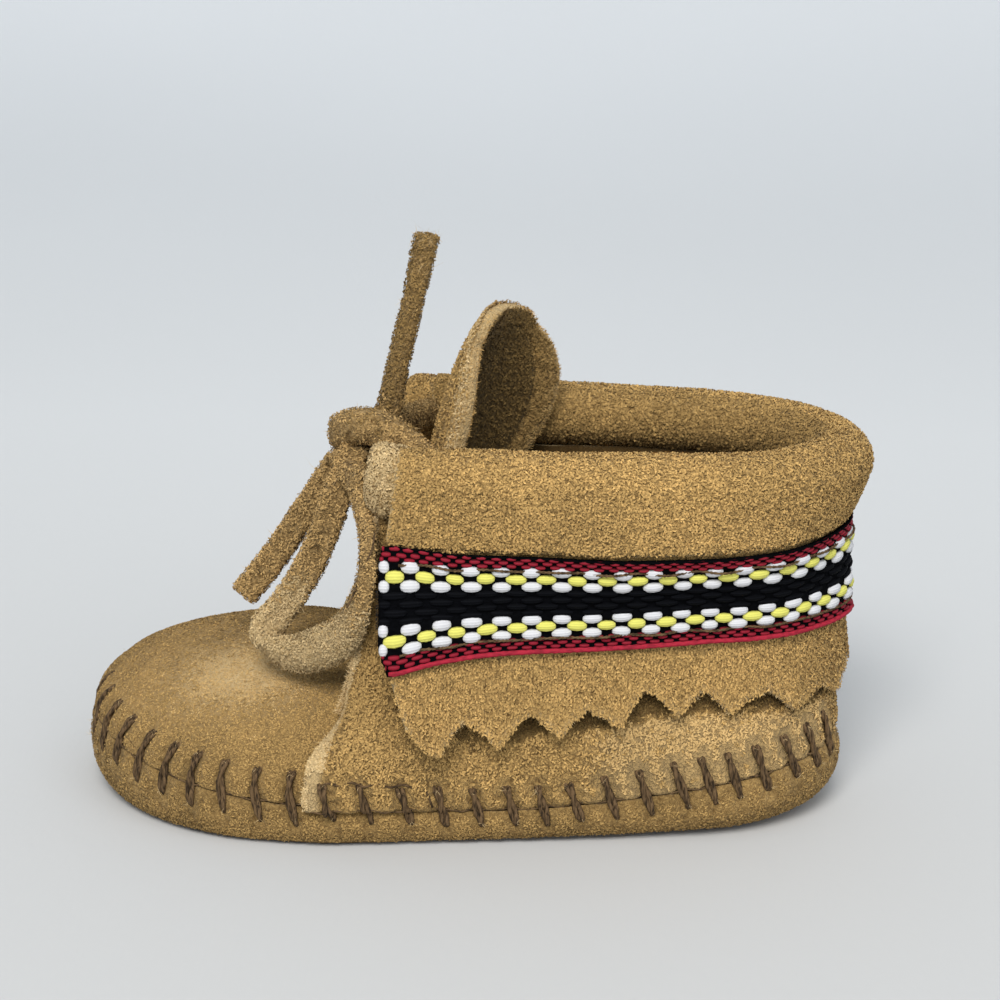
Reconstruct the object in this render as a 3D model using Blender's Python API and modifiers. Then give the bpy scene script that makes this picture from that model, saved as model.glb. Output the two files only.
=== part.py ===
"""Left baby moccasin in suede: a turned-up sole stitched to a hollow upper, a tongue, a rolled collar
with a fringed cuff and a woven braid round it, and a thong tied in a bow in front.

The sizes are in millimetres and every mesh is in metres. x runs forward to the toe, y to the wearer's
left, which is the shoe's outer side, and z up from the floor. Lengths along the foot (s) are measured
forward from the back of the heel."""

import math

import bmesh
import bpy
import numpy as np

MM = 0.001

# Leather and fit
GAP = 0.3  # between pieces that meet
HEM_GAP = 0.45  # under the skirt, whose lower edge waves
UPPER_WALL = 1.6
SOLE_WALL = 1.8
INSOLE_THICK = 1.5
TONGUE_WALL = 1.6
CUFF_WALL = 1.4
BRAID_THICK = 0.8
BRAID_WIDTH = 14.4
QUARTER_PROUD = 1.5  # the quarter stands on the vamp by its own thickness at its front edge

# Collar: a stuffed roll with an outer skirt that runs down to the cuff
ROLL_RADIUS = 4.4
ROLL_HEIGHT = 52.3  # centre of the roll above the floor
ROLL_FALL = 1.0  # the roll comes down by this from its front to the heel
COLLAR_LENGTH = 66.0  # round one side, from the roll's front to the heel
ROLL_FRONT_S = 62.8
CUFF_FRONT_S = 61.6
ROLL_NOSE = 3.2  # rounded end past the last full section
NOSE_STEPS = ((0.55, 0.88), (0.9, 0.58), (1.0, 0.2))  # share of its length, share of the section's size
SKIRT_WALL = 1.5
SKIRT_OVERHANG = 1.1  # the skirt's outer face, out from the cuff's top
CUFF_MID, CUFF_LOW = 29.5, 18.5  # heights at which the cuff's flare is given
BRAID_FRONT_STRETCH = 1.1  # the cut end of the braid spreads
TEETH = 8  # on each side of the heel
FIRST_TIP = 6.2  # behind the cuff's front edge

# Swing of the last: the toe leans inward, and the inner side has a slight arch
TOE_SWING, SWING_START, SWING_LENGTH = 1.8, 70.0, 41.0
ARCH_DEPTH, ARCH_S, ARCH_SPREAD, ARCH_FULL_Y = 1.0, 46.0, 15.0, 12.0

# A row for each section of the last, from the toe round the outer side to the back of the heel.
# foot_s, foot_y, seam_z: where the upper meets the sole. flat_in: from there in to the flat bottom.
# rise, lean: how far the wall first runs up and out. edge_s, edge_y, edge_z: throat or collar edge.
# reach: share of the way from the edge back to the seam at which the wall turns; tuck, drop: out and down.
LAST = np.array(
    [
        # foot_s foot_y seam_z flat_in rise lean  edge_s edge_y edge_z reach  tuck  drop
        (109.9, 0.0, 12.0, 4.6, 5.8, -0.6, 70.4, 0.0, 24.0, 0.71, 0.0, -0.5),  # toe tip
        (107.0, 11.6, 11.2, 4.2, 5.8, -0.5, 70.2, 4.2, 23.7, 0.70, 0.0, -0.4),  # toe front
        (98.9, 20.0, 9.2, 3.2, 5.8, -0.2, 69.7, 9.0, 22.4, 0.65, 0.0, 0.0),  # toe corner
        (87.6, 24.5, 7.4, 2.4, 6.2, 0.2, 69.3, 14.2, 20.4, 0.59, 0.0, 0.8),  # ball
        (74.0, 25.2, 6.1, 2.2, 6.4, 0.4, 68.9, 19.8, 18.0, 0.10, 1.2, 5.0),  # quarter's front edge
        (69.0, 24.8, 5.9, 2.2, 9.0, 0.5, 67.1, 20.6, 25.6, 0.06, 0.8, 8.0),
        (63.6, 24.1, 5.7, 2.3, 10.0, 0.5, 65.8, 20.8, 35.0, 0.04, 0.2, 12.0),
        (58.0, 23.3, 5.5, 2.6, 11.0, 0.4, 64.4, 20.9, 47.3, 0.03, -1.2, 16.0),  # collar's front corner
        (44.0, 21.6, 5.4, 3.8, 11.0, 0.3, 45.0, 19.9, 47.1, 0.0, -3.2, 16.0),  # ankle
        (28.0, 19.6, 6.9, 5.8, 10.5, 0.2, 28.0, 18.5, 46.8, 0.0, -6.4, 16.0),  # waist
        (13.0, 16.5, 9.0, 7.4, 9.5, 0.0, 12.4, 14.9, 46.5, 0.0, -7.6, 16.0),  # heel side
        (3.6, 9.3, 10.4, 8.4, 9.0, 0.0, 4.6, 8.0, 46.4, 0.0, -6.0, 16.0),  # heel corner
        (0.4, 0.0, 10.9, 8.6, 9.0, 0.0, 1.6, 0.0, 46.3, 0.0, -4.2, 16.0),  # heel back
    ]
)
LAST_COLUMNS = "foot_s foot_y seam_z flat_in rise lean edge_s edge_y edge_z reach tuck drop".split()
INSIDE_S = 40.0  # on the middle line, inside both the sole's outline and the collar
QUARTER_ROW, COLLAR_ROW, HEEL_ROW = 4, 7, 12  # rows where the upper's top edge turns a corner
OVERLAP_ROW = 7.5  # the vamp's hidden edge ends here, under the quarter
SOLE_COLUMNS = ("foot_s", "foot_y", "seam_z", "flat_in")

# The cuff by length round the collar from its front edge. hem: height of the skirt's lower edge. top, mid,
# low: how far out of the collar line the cuff's outer face stands. tip, notch: heights along the fringe.
CUFF = {
    # length: hem top mid low tip notch
    0.0: (44.8, 3.0, 6.8, 9.4, 16.4, 21.0),
    4.0: (44.4, 3.0, 5.5, 8.0, 15.9, 20.7),
    8.0: (44.0, 3.0, 4.1, 6.9, 15.6, 20.5),
    14.0: (43.9, 3.0, 2.8, 5.2, 15.8, 20.6),
    20.0: (43.8, 3.0, 1.9, 4.2, 16.6, 20.2),
    30.0: (43.4, 3.0, 0.2, 2.7, 17.8, 22.0),
    43.0: (43.4, 2.8, -0.9, 2.0, 19.4, 22.6),
    52.0: (43.6, 2.4, -0.6, 1.9, 19.5, 22.0),
    60.0: (43.8, 1.6, 0.2, 2.2, 19.8, 22.4),
    68.0: (44.0, 1.1, 1.6, 2.9, 20.6, 23.0),
}
CUFF_COLUMNS = "hem top mid low tip notch".split()

# Tongue: its centre line and width, cup and twist, a row for each section from the throat to the tip.
# arc is half the width along the skin, cup the radius across, twist how far one side leads the other.
TONGUE = np.array(
    [
        # s     z     arc   cup   twist
        (71.8, 20.4, 11.0, 20.0, 0.00),  # under the vamp
        (68.0, 22.3, 11.8, 20.0, 0.00),
        (64.0, 28.8, 12.8, 19.0, 0.05),
        (60.8, 38.0, 13.8, 17.0, 0.15),
        (58.2, 47.6, 15.0, 14.6, 0.28),
        (56.2, 56.0, 15.8, 12.8, 0.38),
        (53.9, 63.0, 14.4, 12.0, 0.42),
        (51.7, 68.2, 10.6, 12.0, 0.42),
        (49.9, 71.0, 5.2, 12.0, 0.42),  # tip
    ]
)

# The thong, hand-laid routes: s forward, y, z
THONG_RADIUS = 1.5
BAR_ROUTE = [(61.2, 15.3, 52.5), (64.4, 9.5, 53.6), (65.8, 3.0, 54.0), (64.4, -4.0, 53.8), (61.2, -15.1, 52.5)]
KNOT_CENTRE, KNOT_SIZE = (70.6, 3.6, 53.0), (6.0, 7.0, 7.6)
OUTER_LOOP = [
    (71.2, 8.4, 52.0),
    (74.4, 10.6, 45.0),
    (78.8, 12.6, 35.0),
    (81.4, 14.2, 28.0),
    (78.8, 16.4, 24.6),
    (73.6, 19.0, 26.6),
    (69.8, 21.6, 32.6),
    (67.6, 22.6, 39.6),
    (67.8, 16.0, 45.6),
    (69.6, 9.6, 48.8),
]
INNER_LOOP = [
    (70.4, -0.8, 52.6),
    (70.6, -6.4, 50.4),
    (71.2, -14.6, 43.0),
    (72.0, -20.4, 34.0),
    (71.8, -22.6, 27.0),
    (69.8, -24.0, 28.6),
    (68.0, -22.8, 36.0),
    (67.6, -15.8, 44.4),
    (69.0, -6.4, 47.4),
]
FRONT_END = [(73.6, 3.9, 49.6), (77.0, 4.6, 44.0), (81.4, 4.6, 36.6), (86.0, 4.2, 30.2)]
UPRIGHT_END = [(66.8, 2.7, 56.9), (63.6, 2.4, 64.0), (61.4, 2.2, 73.0), (59.4, 2.0, 82.0)]

COLOURS = {
    "suede": ((0.47, 0.29, 0.13, 1), 0.92),
    "sole_suede": ((0.44, 0.27, 0.12, 1), 0.93),
    "lining": ((0.16, 0.09, 0.05, 1), 0.95),
    "thong": ((0.40, 0.26, 0.13, 1), 0.95),
    "braid": ((0.02, 0.02, 0.03, 1), 0.80),
}


def spline(values, u, even_start=False, even_end=False):
    """A smooth curve through equally spaced values, read at u. An even end is level, as on a mirror line."""
    last = len(values) - 1
    i = min(max(int(math.floor(u)), 0), last - 1)
    t = u - i
    here, there = values[i], values[i + 1]
    if i > 0:
        before = values[i - 1]
    else:
        before = there if even_start else 2 * here - there
    if i + 2 <= last:
        after = values[i + 2]
    else:
        after = here if even_end else 2 * there - here
    slope, slope_there = (there - before) / 2, (after - here) / 2
    rise = there - here
    return here + t * (slope + t * (3 * rise - 2 * slope - slope_there + t * (slope + slope_there - 2 * rise)))


def cuff_value(name, length):
    """One column of CUFF, read straight between its rows."""
    column = CUFF_COLUMNS.index(name)
    return float(np.interp(length, list(CUFF), [row[column] for row in CUFF.values()]))


def last_value(name, u):
    """One column of LAST at row u. What belongs to the top edge breaks at the edge's two corners."""
    column = LAST[:, LAST_COLUMNS.index(name)]
    first, final = 0, HEEL_ROW
    if name not in SOLE_COLUMNS:
        if u > COLLAR_ROW:
            first = COLLAR_ROW
        elif u > QUARTER_ROW:
            first, final = QUARTER_ROW, COLLAR_ROW
        else:
            final = QUARTER_ROW
    even = not name.endswith("_y")
    return spline(column[first : final + 1], u - first, even and first == 0, even and final == HEEL_ROW)


def swing(s, y):
    """The last's own left form: the toe turned in, and the inner side hollowed at the arch."""
    t = min(max((s - SWING_START) / SWING_LENGTH, 0.0), 1.0)
    y -= TOE_SWING * t * t * (3 - 2 * t)
    if y < 0:
        y += ARCH_DEPTH * min(1.0, -y / ARCH_FULL_Y) * math.exp(-(((s - ARCH_S) / ARCH_SPREAD) ** 2))
    return y


def foot_point(u):
    return np.array([last_value("foot_s", u), last_value("foot_y", u)])


def outward(u, line):
    """Unit normal in plan of a line round the last, pointing out of the shoe."""
    step = 0.02
    low, high = max(u - step, 0.0), min(u + step, HEEL_ROW)
    ahead, behind = line(low), line(high)
    if u - step < 0:
        ahead = np.array([behind[0], -behind[1]])
    if u + step > HEEL_ROW:
        behind = np.array([ahead[0], -ahead[1]])
    along = ahead - behind
    normal = np.array([-along[1], along[0]])
    if normal @ (line(u) - np.array([INSIDE_S, 0.0])) < 0:
        normal = -normal
    return normal / np.linalg.norm(normal)


def bezier(points, t):
    a, b, c, d = (np.asarray(p, float) for p in points)
    k = 1 - t
    return k * k * k * a + 3 * k * k * t * b + 3 * k * t * t * c + t * t * t * d


def wall_point(u, v):
    """The upper's outer skin: row u round the last, v from the seam up to the edge."""
    foot, out = foot_point(u), outward(u, foot_point)
    seam = last_value("seam_z", u) + GAP
    edge = np.array([last_value("edge_s", u), last_value("edge_y", u)])
    edge_z = last_value("edge_z", u)
    low = foot + last_value("lean", u) * out
    high = edge + last_value("reach", u) * (foot - edge) + last_value("tuck", u) * out
    return bezier(
        (
            (*foot, seam),
            (*low, seam + last_value("rise", u)),
            (*high, edge_z - last_value("drop", u)),
            (*edge, edge_z),
        ),
        v,
    )


def wall_normal(u, v):
    step = 0.01
    u_low, u_high = max(u - step, 0.0), min(u + step, HEEL_ROW)
    v_low, v_high = max(v - step, 0.0), min(v + step, 1.0)
    along = wall_point(u_high, v) - wall_point(u_low, v)
    up = wall_point(u, v_high) - wall_point(u, v_low)
    if u - step < 0 or u + step > HEEL_ROW:
        along[0] = along[2] = 0.0
    normal = np.cross(along, up)
    return normal / np.linalg.norm(normal)


def quarter_stand(u):
    """How far the quarter stands out over the vamp beneath it."""
    if u < QUARTER_ROW:
        return 0.0
    return QUARTER_PROUD * max(0.0, 1 - (u - QUARTER_ROW) / (OVERLAP_ROW - QUARTER_ROW)) ** 0.5


def placed(point, side=1):
    """Shoe co-ordinates (s, y, z) in millimetres to the object's frame in metres."""
    s, y, z = point
    return ((s - middle_s()) * MM, swing(s, side * y) * MM, z * MM)


def placed_plain(point):
    s, y, z = point
    return ((s - middle_s()) * MM, y * MM, z * MM)


def sole_point(u, w):
    """The sole's outer skin from the seam, w = 0, round the turned-up edge to its flat bottom, w = 1."""
    foot, out = foot_point(u), outward(u, foot_point)
    seam = last_value("seam_z", u)
    inset = last_value("flat_in", u)
    return bezier(
        (
            (*foot, seam),
            (*(foot + (0.9 + 0.12 * seam) * out), seam * 0.42),
            (*(foot - 0.25 * inset * out), 0.0),
            (*(foot - inset * out), 0.0),
        ),
        w,
    )


def middle_s():
    """Half way between the toe's most forward point and the back of the collar roll."""
    toe = max(sole_point(0, w / 40)[0] for w in range(41))
    return (toe + last_value("edge_s", HEEL_ROW) - ROLL_RADIUS) / 2


def material(name):
    colour, roughness = COLOURS[name]
    made = bpy.data.materials.get(name) or bpy.data.materials.new(name)
    made.use_nodes = True
    shader = made.node_tree.nodes["Principled BSDF"]
    shader.inputs["Base Color"].default_value = colour
    shader.inputs["Roughness"].default_value = roughness
    shader.inputs["Metallic"].default_value = 0.0
    return made


def add_object(name, mesh, finish):
    mesh.materials.append(material(finish))
    mesh.shade_smooth()
    mesh.set_sharp_from_angle(angle=math.radians(50))
    made = bpy.data.objects.new(name, mesh)
    bpy.data.collections["baby_moccasin"].objects.link(made)
    return made


def loft(name, loops, finish, closed=False):
    """A solid through closed loops of equal count, joined end to end (closed) or capped."""
    work = bmesh.new()
    rings = [[work.verts.new(point) for point in loop] for loop in loops]
    pairs = list(zip(rings, rings[1:])) + ([(rings[-1], rings[0])] if closed else [])
    for ring, following in pairs:
        count = len(ring)
        for i in range(count):
            j = (i + 1) % count
            work.faces.new((ring[i], ring[j], following[j], following[i]))
    if not closed:
        work.faces.new(rings[0][::-1])
        work.faces.new(rings[-1])
    bmesh.ops.recalc_face_normals(work, faces=work.faces)
    mesh = bpy.data.meshes.new(name)
    work.to_mesh(mesh)
    work.free()
    return add_object(name, mesh, finish)


def around(rows):
    """(row, side) pairs round the whole shoe: the outer side to the heel, and back up the inner side."""
    return [(u, 1) for u in rows] + [(u, -1) for u in reversed(rows[1:-1])]


def row_steps(first, final, per_row):
    count = round((final - first) * per_row)
    return [first + (final - first) * i / count for i in range(count + 1)]


def make_upper():
    steps_up = [0, 0.12, 0.26, 0.4, 0.55, 0.7, 0.85, 1.0]
    rows = [u for u in row_steps(0, HEEL_ROW, 2) if u != QUARTER_ROW]
    edge = 0.012
    rows = sorted(rows + [QUARTER_ROW - edge, QUARTER_ROW])
    loops = []
    for u, side in around(rows):
        stand = quarter_stand(u)
        outer = [wall_point(u, v) + stand * wall_normal(u, v) for v in steps_up]
        inner = [wall_point(u, v) - UPPER_WALL * wall_normal(u, v) for v in reversed(steps_up)]
        loops.append([placed(point, side) for point in outer + inner])
    return loft("upper", loops, "suede", closed=True)


def make_sole():
    rows = row_steps(0, HEEL_ROW, 2)
    steps_down = [0, 0.2, 0.4, 0.6, 0.8, 1.0]
    work = bmesh.new()
    rings = [[work.verts.new(placed(sole_point(u, w), side)) for u, side in around(rows)] for w in steps_down]
    for ring, following in zip(rings, rings[1:]):
        for i in range(len(ring)):
            j = (i + 1) % len(ring)
            work.faces.new((ring[i], following[i], following[j], ring[j]))
    work.faces.new(rings[-1])
    bmesh.ops.recalc_face_normals(work, faces=work.faces)
    mesh = bpy.data.meshes.new("sole")
    work.to_mesh(mesh)
    work.free()
    made = add_object("sole", mesh, "sole_suede")
    skin = made.modifiers.new("thickness", "SOLIDIFY")
    skin.thickness = SOLE_WALL * MM
    skin.offset = -1
    skin.use_even_offset = True
    return made


def make_insole():
    rows = row_steps(0, HEEL_ROW, 2)
    low = SOLE_WALL + GAP
    loops = []
    for height in (low, low + INSOLE_THICK):
        loop = []
        for u, side in around(rows):
            inset = last_value("flat_in", u) + 0.6
            foot = foot_point(u) - inset * outward(u, foot_point)
            loop.append(placed((*foot, height), side))
        loops.append(loop)
    return loft("insole", loops, "lining")


def tongue_point(b, a, lift):
    """Row b from throat to tip, a from -1 to 1 across, lift off the middle of the leather."""
    s, z, arc, cup, twist = (spline(TONGUE[:, i], b) for i in range(5))
    step = 0.05
    before, after = max(b - step, 0), min(b + step, len(TONGUE) - 1)
    run = spline(TONGUE[:, 0], after) - spline(TONGUE[:, 0], before)
    climb = spline(TONGUE[:, 1], after) - spline(TONGUE[:, 1], before)
    length = math.hypot(run, climb)
    back = np.array([-climb / length, run / length])
    angle = a * arc / cup
    radius = cup + lift
    depth = cup - radius * math.cos(angle)
    y = radius * math.sin(angle)
    return (s + depth * back[0] + twist * y, y, z + depth * back[1])


def make_tongue():
    across = np.linspace(-1, 1, 11)
    loops = []
    for b in row_steps(0, len(TONGUE) - 1, 2):
        front = [placed_plain(tongue_point(b, a, TONGUE_WALL / 2)) for a in across]
        back = [placed_plain(tongue_point(b, a, -TONGUE_WALL / 2)) for a in reversed(across)]
        loops.append(front + back)
    return loft("tongue", loops, "suede")


def collar_point(u):
    return np.array([last_value("edge_s", u), last_value("edge_y", u)])


def collar_section(u, profile, side):
    """A profile of (out, z) points carried on the collar line at row u."""
    line, out = collar_point(u), outward(u, collar_point)
    return [placed((*(line + n * out), z), side) for n, z in profile]


def collar_sweep(rows, profiles):
    """Sections round the collar: the outer side from its front to the heel, and back up the inner side."""
    half = list(zip(rows, profiles))
    outer = [collar_section(u, profile, 1) for u, profile in half]
    return outer + [collar_section(u, profile, -1) for u, profile in half[-2::-1]]


def collar_lengths():
    """Row and running length pairs along the collar line, from its front corner to the heel."""
    rows = np.linspace(COLLAR_ROW, HEEL_ROW, 401)
    points = np.array([collar_point(u) for u in rows])
    steps = np.linalg.norm(np.diff(points, axis=0), axis=1)
    return rows, points[:, 0], np.concatenate([[0.0], np.cumsum(steps)])


def collar_rows(front_s, count):
    """Rows at equal lengths from the point of the collar line at front_s to the heel, and those lengths."""
    rows, forward, lengths = collar_lengths()
    start = np.interp(-front_s, -forward, lengths)
    wanted = np.linspace(start, lengths[-1], count + 1)
    return np.interp(wanted, lengths, rows), wanted - start


def roll_profile(length, scale=1.0):
    """The stuffed roll's section with its skirt, as (out, z), at a length behind the roll's front."""
    arc = [math.radians(angle) for angle in (264, 225, 190, 155, 120, 85, 50, 20, -5)]
    height = ROLL_HEIGHT - ROLL_FALL * length / COLLAR_LENGTH
    points = [(ROLL_RADIUS * math.cos(a), height + ROLL_RADIUS * math.sin(a)) for a in arc]
    foot, hem = cuff_value("top", length) + SKIRT_OVERHANG, cuff_value("hem", length)
    points += [((ROLL_RADIUS + 0.15 + foot) / 2, 48.0), (foot, hem)]
    points += [(foot - SKIRT_WALL, hem), (foot - SKIRT_WALL, 46.8)]
    return [(n * scale, height + (z - height) * scale) for n, z in points]


def make_roll():
    rows, lengths = collar_rows(ROLL_FRONT_S, 22)
    loops = collar_sweep(rows, [roll_profile(length) for length in lengths])
    for end in (0, -1):
        side = 1 if end == 0 else -1
        nose = []
        for share, scale in NOSE_STEPS:
            points = collar_section(rows[0], roll_profile(0, scale), side)
            nose.append([(x + share * ROLL_NOSE * MM, y, z) for x, y, z in points])
        loops = nose[::-1] + loops if end == 0 else loops + nose
    return loft("collar_roll", loops, "suede")


def cuff_face(length, z):
    """How far out of the collar line the cuff's outer face stands at height z."""
    high, mid, low = (cuff_value(name, length) for name in ("top", "mid", "low"))
    top = cuff_value("hem", length) - HEM_GAP
    a = (z - CUFF_MID) * (z - CUFF_LOW) / ((top - CUFF_MID) * (top - CUFF_LOW))
    b = (z - top) * (z - CUFF_LOW) / ((CUFF_MID - top) * (CUFF_MID - CUFF_LOW))
    c = (z - top) * (z - CUFF_MID) / ((CUFF_LOW - top) * (CUFF_LOW - CUFF_MID))
    return high * a + mid * b + low * c


def fringe_height(length, whole):
    """Height of the cuff's lower edge: pointed teeth with rounded notches between them."""
    tip, notch = cuff_value("tip", length), cuff_value("notch", length)
    if length < FIRST_TIP:
        slant = (FIRST_TIP - length) / FIRST_TIP
        return tip + (CUFF_MID - 2.5 - tip) * slant**2.2
    pitch = (whole - FIRST_TIP) / (TEETH - 0.5)
    phase = (length - FIRST_TIP) / pitch
    inside = abs(phase - round(phase)) * 2  # 0 at a tip, 1 at a notch
    return tip + (notch - tip) * math.sin(inside * math.pi / 2)


def cuff_profile(length, whole):
    low, top = fringe_height(length, whole), cuff_value("hem", length) - HEM_GAP
    heights = [top + (low - top) * t for t in (0.0, 0.34, 0.68, 1.0)]
    outer = [(cuff_face(length, z), z) for z in heights]
    return outer + [(n - CUFF_WALL, z) for n, z in reversed(outer)]


def make_cuff():
    rows, lengths = collar_rows(CUFF_FRONT_S, 72)
    profiles = [cuff_profile(length, lengths[-1]) for length in lengths]
    return loft("cuff", collar_sweep(rows, profiles), "suede")


def braid_profile(length):
    """The braid on the cuff, its width measured along the cuff's face."""
    spread = 1 + (BRAID_FRONT_STRETCH - 1) * max(0.0, 1 - length / 5)
    z = cuff_value("hem", length) - HEM_GAP
    travelled, heights = 0.0, [z]
    third = BRAID_WIDTH * spread / 3
    step = 0.1
    while len(heights) < 4:
        travelled += math.hypot(cuff_face(length, z - step) - cuff_face(length, z), step)
        z -= step
        if travelled >= third * len(heights):
            heights.append(z)
    face = [(cuff_face(length, z) + 2 * GAP, z) for z in heights]
    return [(n + BRAID_THICK, z) for n, z in face] + face[::-1]


def make_braid():
    rows, lengths = collar_rows(CUFF_FRONT_S + 0.4, 36)
    return loft("braid", collar_sweep(rows, [braid_profile(length) for length in lengths]), "braid")


def thong(name, route, points):
    """A plain round thong along a smooth line through the route."""
    route = np.array(route, float)
    at = np.linspace(0, len(route) - 1, points)
    data = bpy.data.curves.new(name, "CURVE")
    data.dimensions = "3D"
    data.bevel_depth = THONG_RADIUS * MM
    data.bevel_resolution = 2
    data.use_fill_caps = True
    line = data.splines.new("POLY")
    line.points.add(points - 1)
    for point, u in zip(line.points, at):
        point.co = (*placed_plain([spline(route[:, i], u) for i in range(3)]), 1)
    data.materials.append(material("thong"))
    made = bpy.data.objects.new(name, data)
    bpy.data.collections["baby_moccasin"].objects.link(made)
    return made


def make_knot():
    mesh = bpy.data.meshes.new("lace_knot")
    work = bmesh.new()
    bmesh.ops.create_uvsphere(work, u_segments=14, v_segments=9, radius=0.5)
    for vert in work.verts:
        vert.co = [vert.co[i] * KNOT_SIZE[i] * MM + placed_plain(KNOT_CENTRE)[i] for i in range(3)]
    work.to_mesh(mesh)
    work.free()
    return add_object("lace_knot", mesh, "thong")


def main():
    for old in list(bpy.data.objects):
        bpy.data.objects.remove(old)
    parts = bpy.data.collections.new("baby_moccasin")
    bpy.context.scene.collection.children.link(parts)
    make_sole()
    make_insole()
    make_upper()
    make_tongue()
    make_roll()
    make_cuff()
    make_braid()
    thong("lace_bar", BAR_ROUTE, 15)
    make_knot()
    thong("lace_loop_outer", OUTER_LOOP, 30)
    thong("lace_loop_inner", INNER_LOOP, 26)
    thong("lace_end_front", FRONT_END, 12)
    thong("lace_end_up", UPRIGHT_END, 12)


main()
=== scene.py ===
"""Left baby moccasin in suede, with a rolled collar, a fringed cuff, a woven braid and a thong bow.

Shoe co-ordinates (s, y, z) are in millimetres: s forward from the back of the heel, y to the wearer's left,
which is the shoe's outer side, and z up from the floor. Meshes are in metres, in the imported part's frame."""

import math

import bmesh
import bpy
import numpy as np
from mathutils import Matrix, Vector, noise


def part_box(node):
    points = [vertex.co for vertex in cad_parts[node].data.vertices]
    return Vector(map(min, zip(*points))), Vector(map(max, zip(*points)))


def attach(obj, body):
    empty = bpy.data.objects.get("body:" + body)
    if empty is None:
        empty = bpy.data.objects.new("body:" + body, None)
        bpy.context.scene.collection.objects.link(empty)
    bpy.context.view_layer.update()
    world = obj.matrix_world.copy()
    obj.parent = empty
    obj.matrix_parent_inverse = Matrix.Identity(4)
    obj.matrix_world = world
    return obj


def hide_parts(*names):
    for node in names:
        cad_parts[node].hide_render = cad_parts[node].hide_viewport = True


bl_info = {
    "name": "Baby moccasin",
    "version": (1, 0, 0),
    "blender": (4, 5, 0),
    "location": "3D View > Sidebar > Moccasin",
    "description": "Builds a suede baby moccasin with a fringed cuff, a woven braid and a thong bow",
    "category": "Add Mesh",
}

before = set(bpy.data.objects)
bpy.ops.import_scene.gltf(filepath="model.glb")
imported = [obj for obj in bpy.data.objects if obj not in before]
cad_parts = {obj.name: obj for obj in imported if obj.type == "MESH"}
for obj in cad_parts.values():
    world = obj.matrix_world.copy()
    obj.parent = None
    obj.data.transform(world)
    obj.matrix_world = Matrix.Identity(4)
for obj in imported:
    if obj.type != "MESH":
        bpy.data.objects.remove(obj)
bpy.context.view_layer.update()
MM = 0.001

# The last, as the part has it: a row for each section from the toe round the outer side to the heel.
LAST = np.array(
    [
        # foot_s foot_y seam_z flat_in rise lean  edge_s edge_y edge_z reach  tuck  drop
        (109.9, 0.0, 12.0, 4.6, 5.8, -0.6, 70.4, 0.0, 24.0, 0.71, 0.0, -0.5),  # toe tip
        (107.0, 11.6, 11.2, 4.2, 5.8, -0.5, 70.2, 4.2, 23.7, 0.70, 0.0, -0.4),  # toe front
        (98.9, 20.0, 9.2, 3.2, 5.8, -0.2, 69.7, 9.0, 22.4, 0.65, 0.0, 0.0),  # toe corner
        (87.6, 24.5, 7.4, 2.4, 6.2, 0.2, 69.3, 14.2, 20.4, 0.59, 0.0, 0.8),  # ball
        (74.0, 25.2, 6.1, 2.2, 6.4, 0.4, 68.9, 19.8, 18.0, 0.10, 1.2, 5.0),  # quarter's front edge
        (69.0, 24.8, 5.9, 2.2, 9.0, 0.5, 67.1, 20.6, 25.6, 0.06, 0.8, 8.0),
        (63.6, 24.1, 5.7, 2.3, 10.0, 0.5, 65.8, 20.8, 35.0, 0.04, 0.2, 12.0),
        (58.0, 23.3, 5.5, 2.6, 11.0, 0.4, 64.4, 20.9, 47.3, 0.03, -1.2, 16.0),  # collar's front corner
        (44.0, 21.6, 5.4, 3.8, 11.0, 0.3, 45.0, 19.9, 47.1, 0.0, -3.2, 16.0),  # ankle
        (28.0, 19.6, 6.9, 5.8, 10.5, 0.2, 28.0, 18.5, 46.8, 0.0, -6.4, 16.0),  # waist
        (13.0, 16.5, 9.0, 7.4, 9.5, 0.0, 12.4, 14.9, 46.5, 0.0, -7.6, 16.0),  # heel side
        (3.6, 9.3, 10.4, 8.4, 9.0, 0.0, 4.6, 8.0, 46.4, 0.0, -6.0, 16.0),  # heel corner
        (0.4, 0.0, 10.9, 8.6, 9.0, 0.0, 1.6, 0.0, 46.3, 0.0, -4.2, 16.0),  # heel back
    ]
)
LAST_COLUMNS = "foot_s foot_y seam_z flat_in rise lean edge_s edge_y edge_z reach tuck drop".split()
SOLE_COLUMNS = ("foot_s", "foot_y", "seam_z", "flat_in")
QUARTER_ROW, COLLAR_ROW, HEEL_ROW = 4, 7, 12
OVERLAP_ROW = 7.5
INSIDE_S = 40.0
SEAM_GAP = 0.08
QUARTER_PROUD = 1.6
TOE_SWING, SWING_START, SWING_LENGTH = 1.8, 70.0, 41.0
ARCH_DEPTH, ARCH_S, ARCH_SPREAD, ARCH_FULL_Y = 1.0, 46.0, 15.0, 12.0

# The collar's roll, its skirt and the cuff under it
ROLL_RADIUS = 4.4
ROLL_HEIGHT, ROLL_FALL, COLLAR_LENGTH = 52.3, 1.0, 66.0
ROLL_FRONT_S, CUFF_FRONT_S = 62.8, 61.6
ROLL_STEPS = 60
# The roll's closed front ends, loop by loop: how far each stands ahead of the cut, and its share of the section
ROLL_NOSE = ((0.3, 0.985), (0.5, 0.93), (0.55, 0.8), (0.5, 0.5), (0.5, 0.2), (0.5, 1e-4))
# The inner turns of the roll, from inside to the nose: how far forward of the cut, and the share of their girth
TURN_FORM = np.array(
    [(-4.0, 0.96), (-2.0, 0.97), (0.0, 0.98), (1.0, 0.98), (1.9, 0.95), (2.6, 0.88), (3.1, 0.72), (3.35, 0.42)]
    + [(3.4, 0.001)]
)
SKIRT_WALL, SKIRT_OVERHANG, HEM_GAP = 1.5, 1.1, 0.45
CUFF_MID, CUFF_LOW, CUFF_WALL = 29.5, 18.5, 1.4
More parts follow.
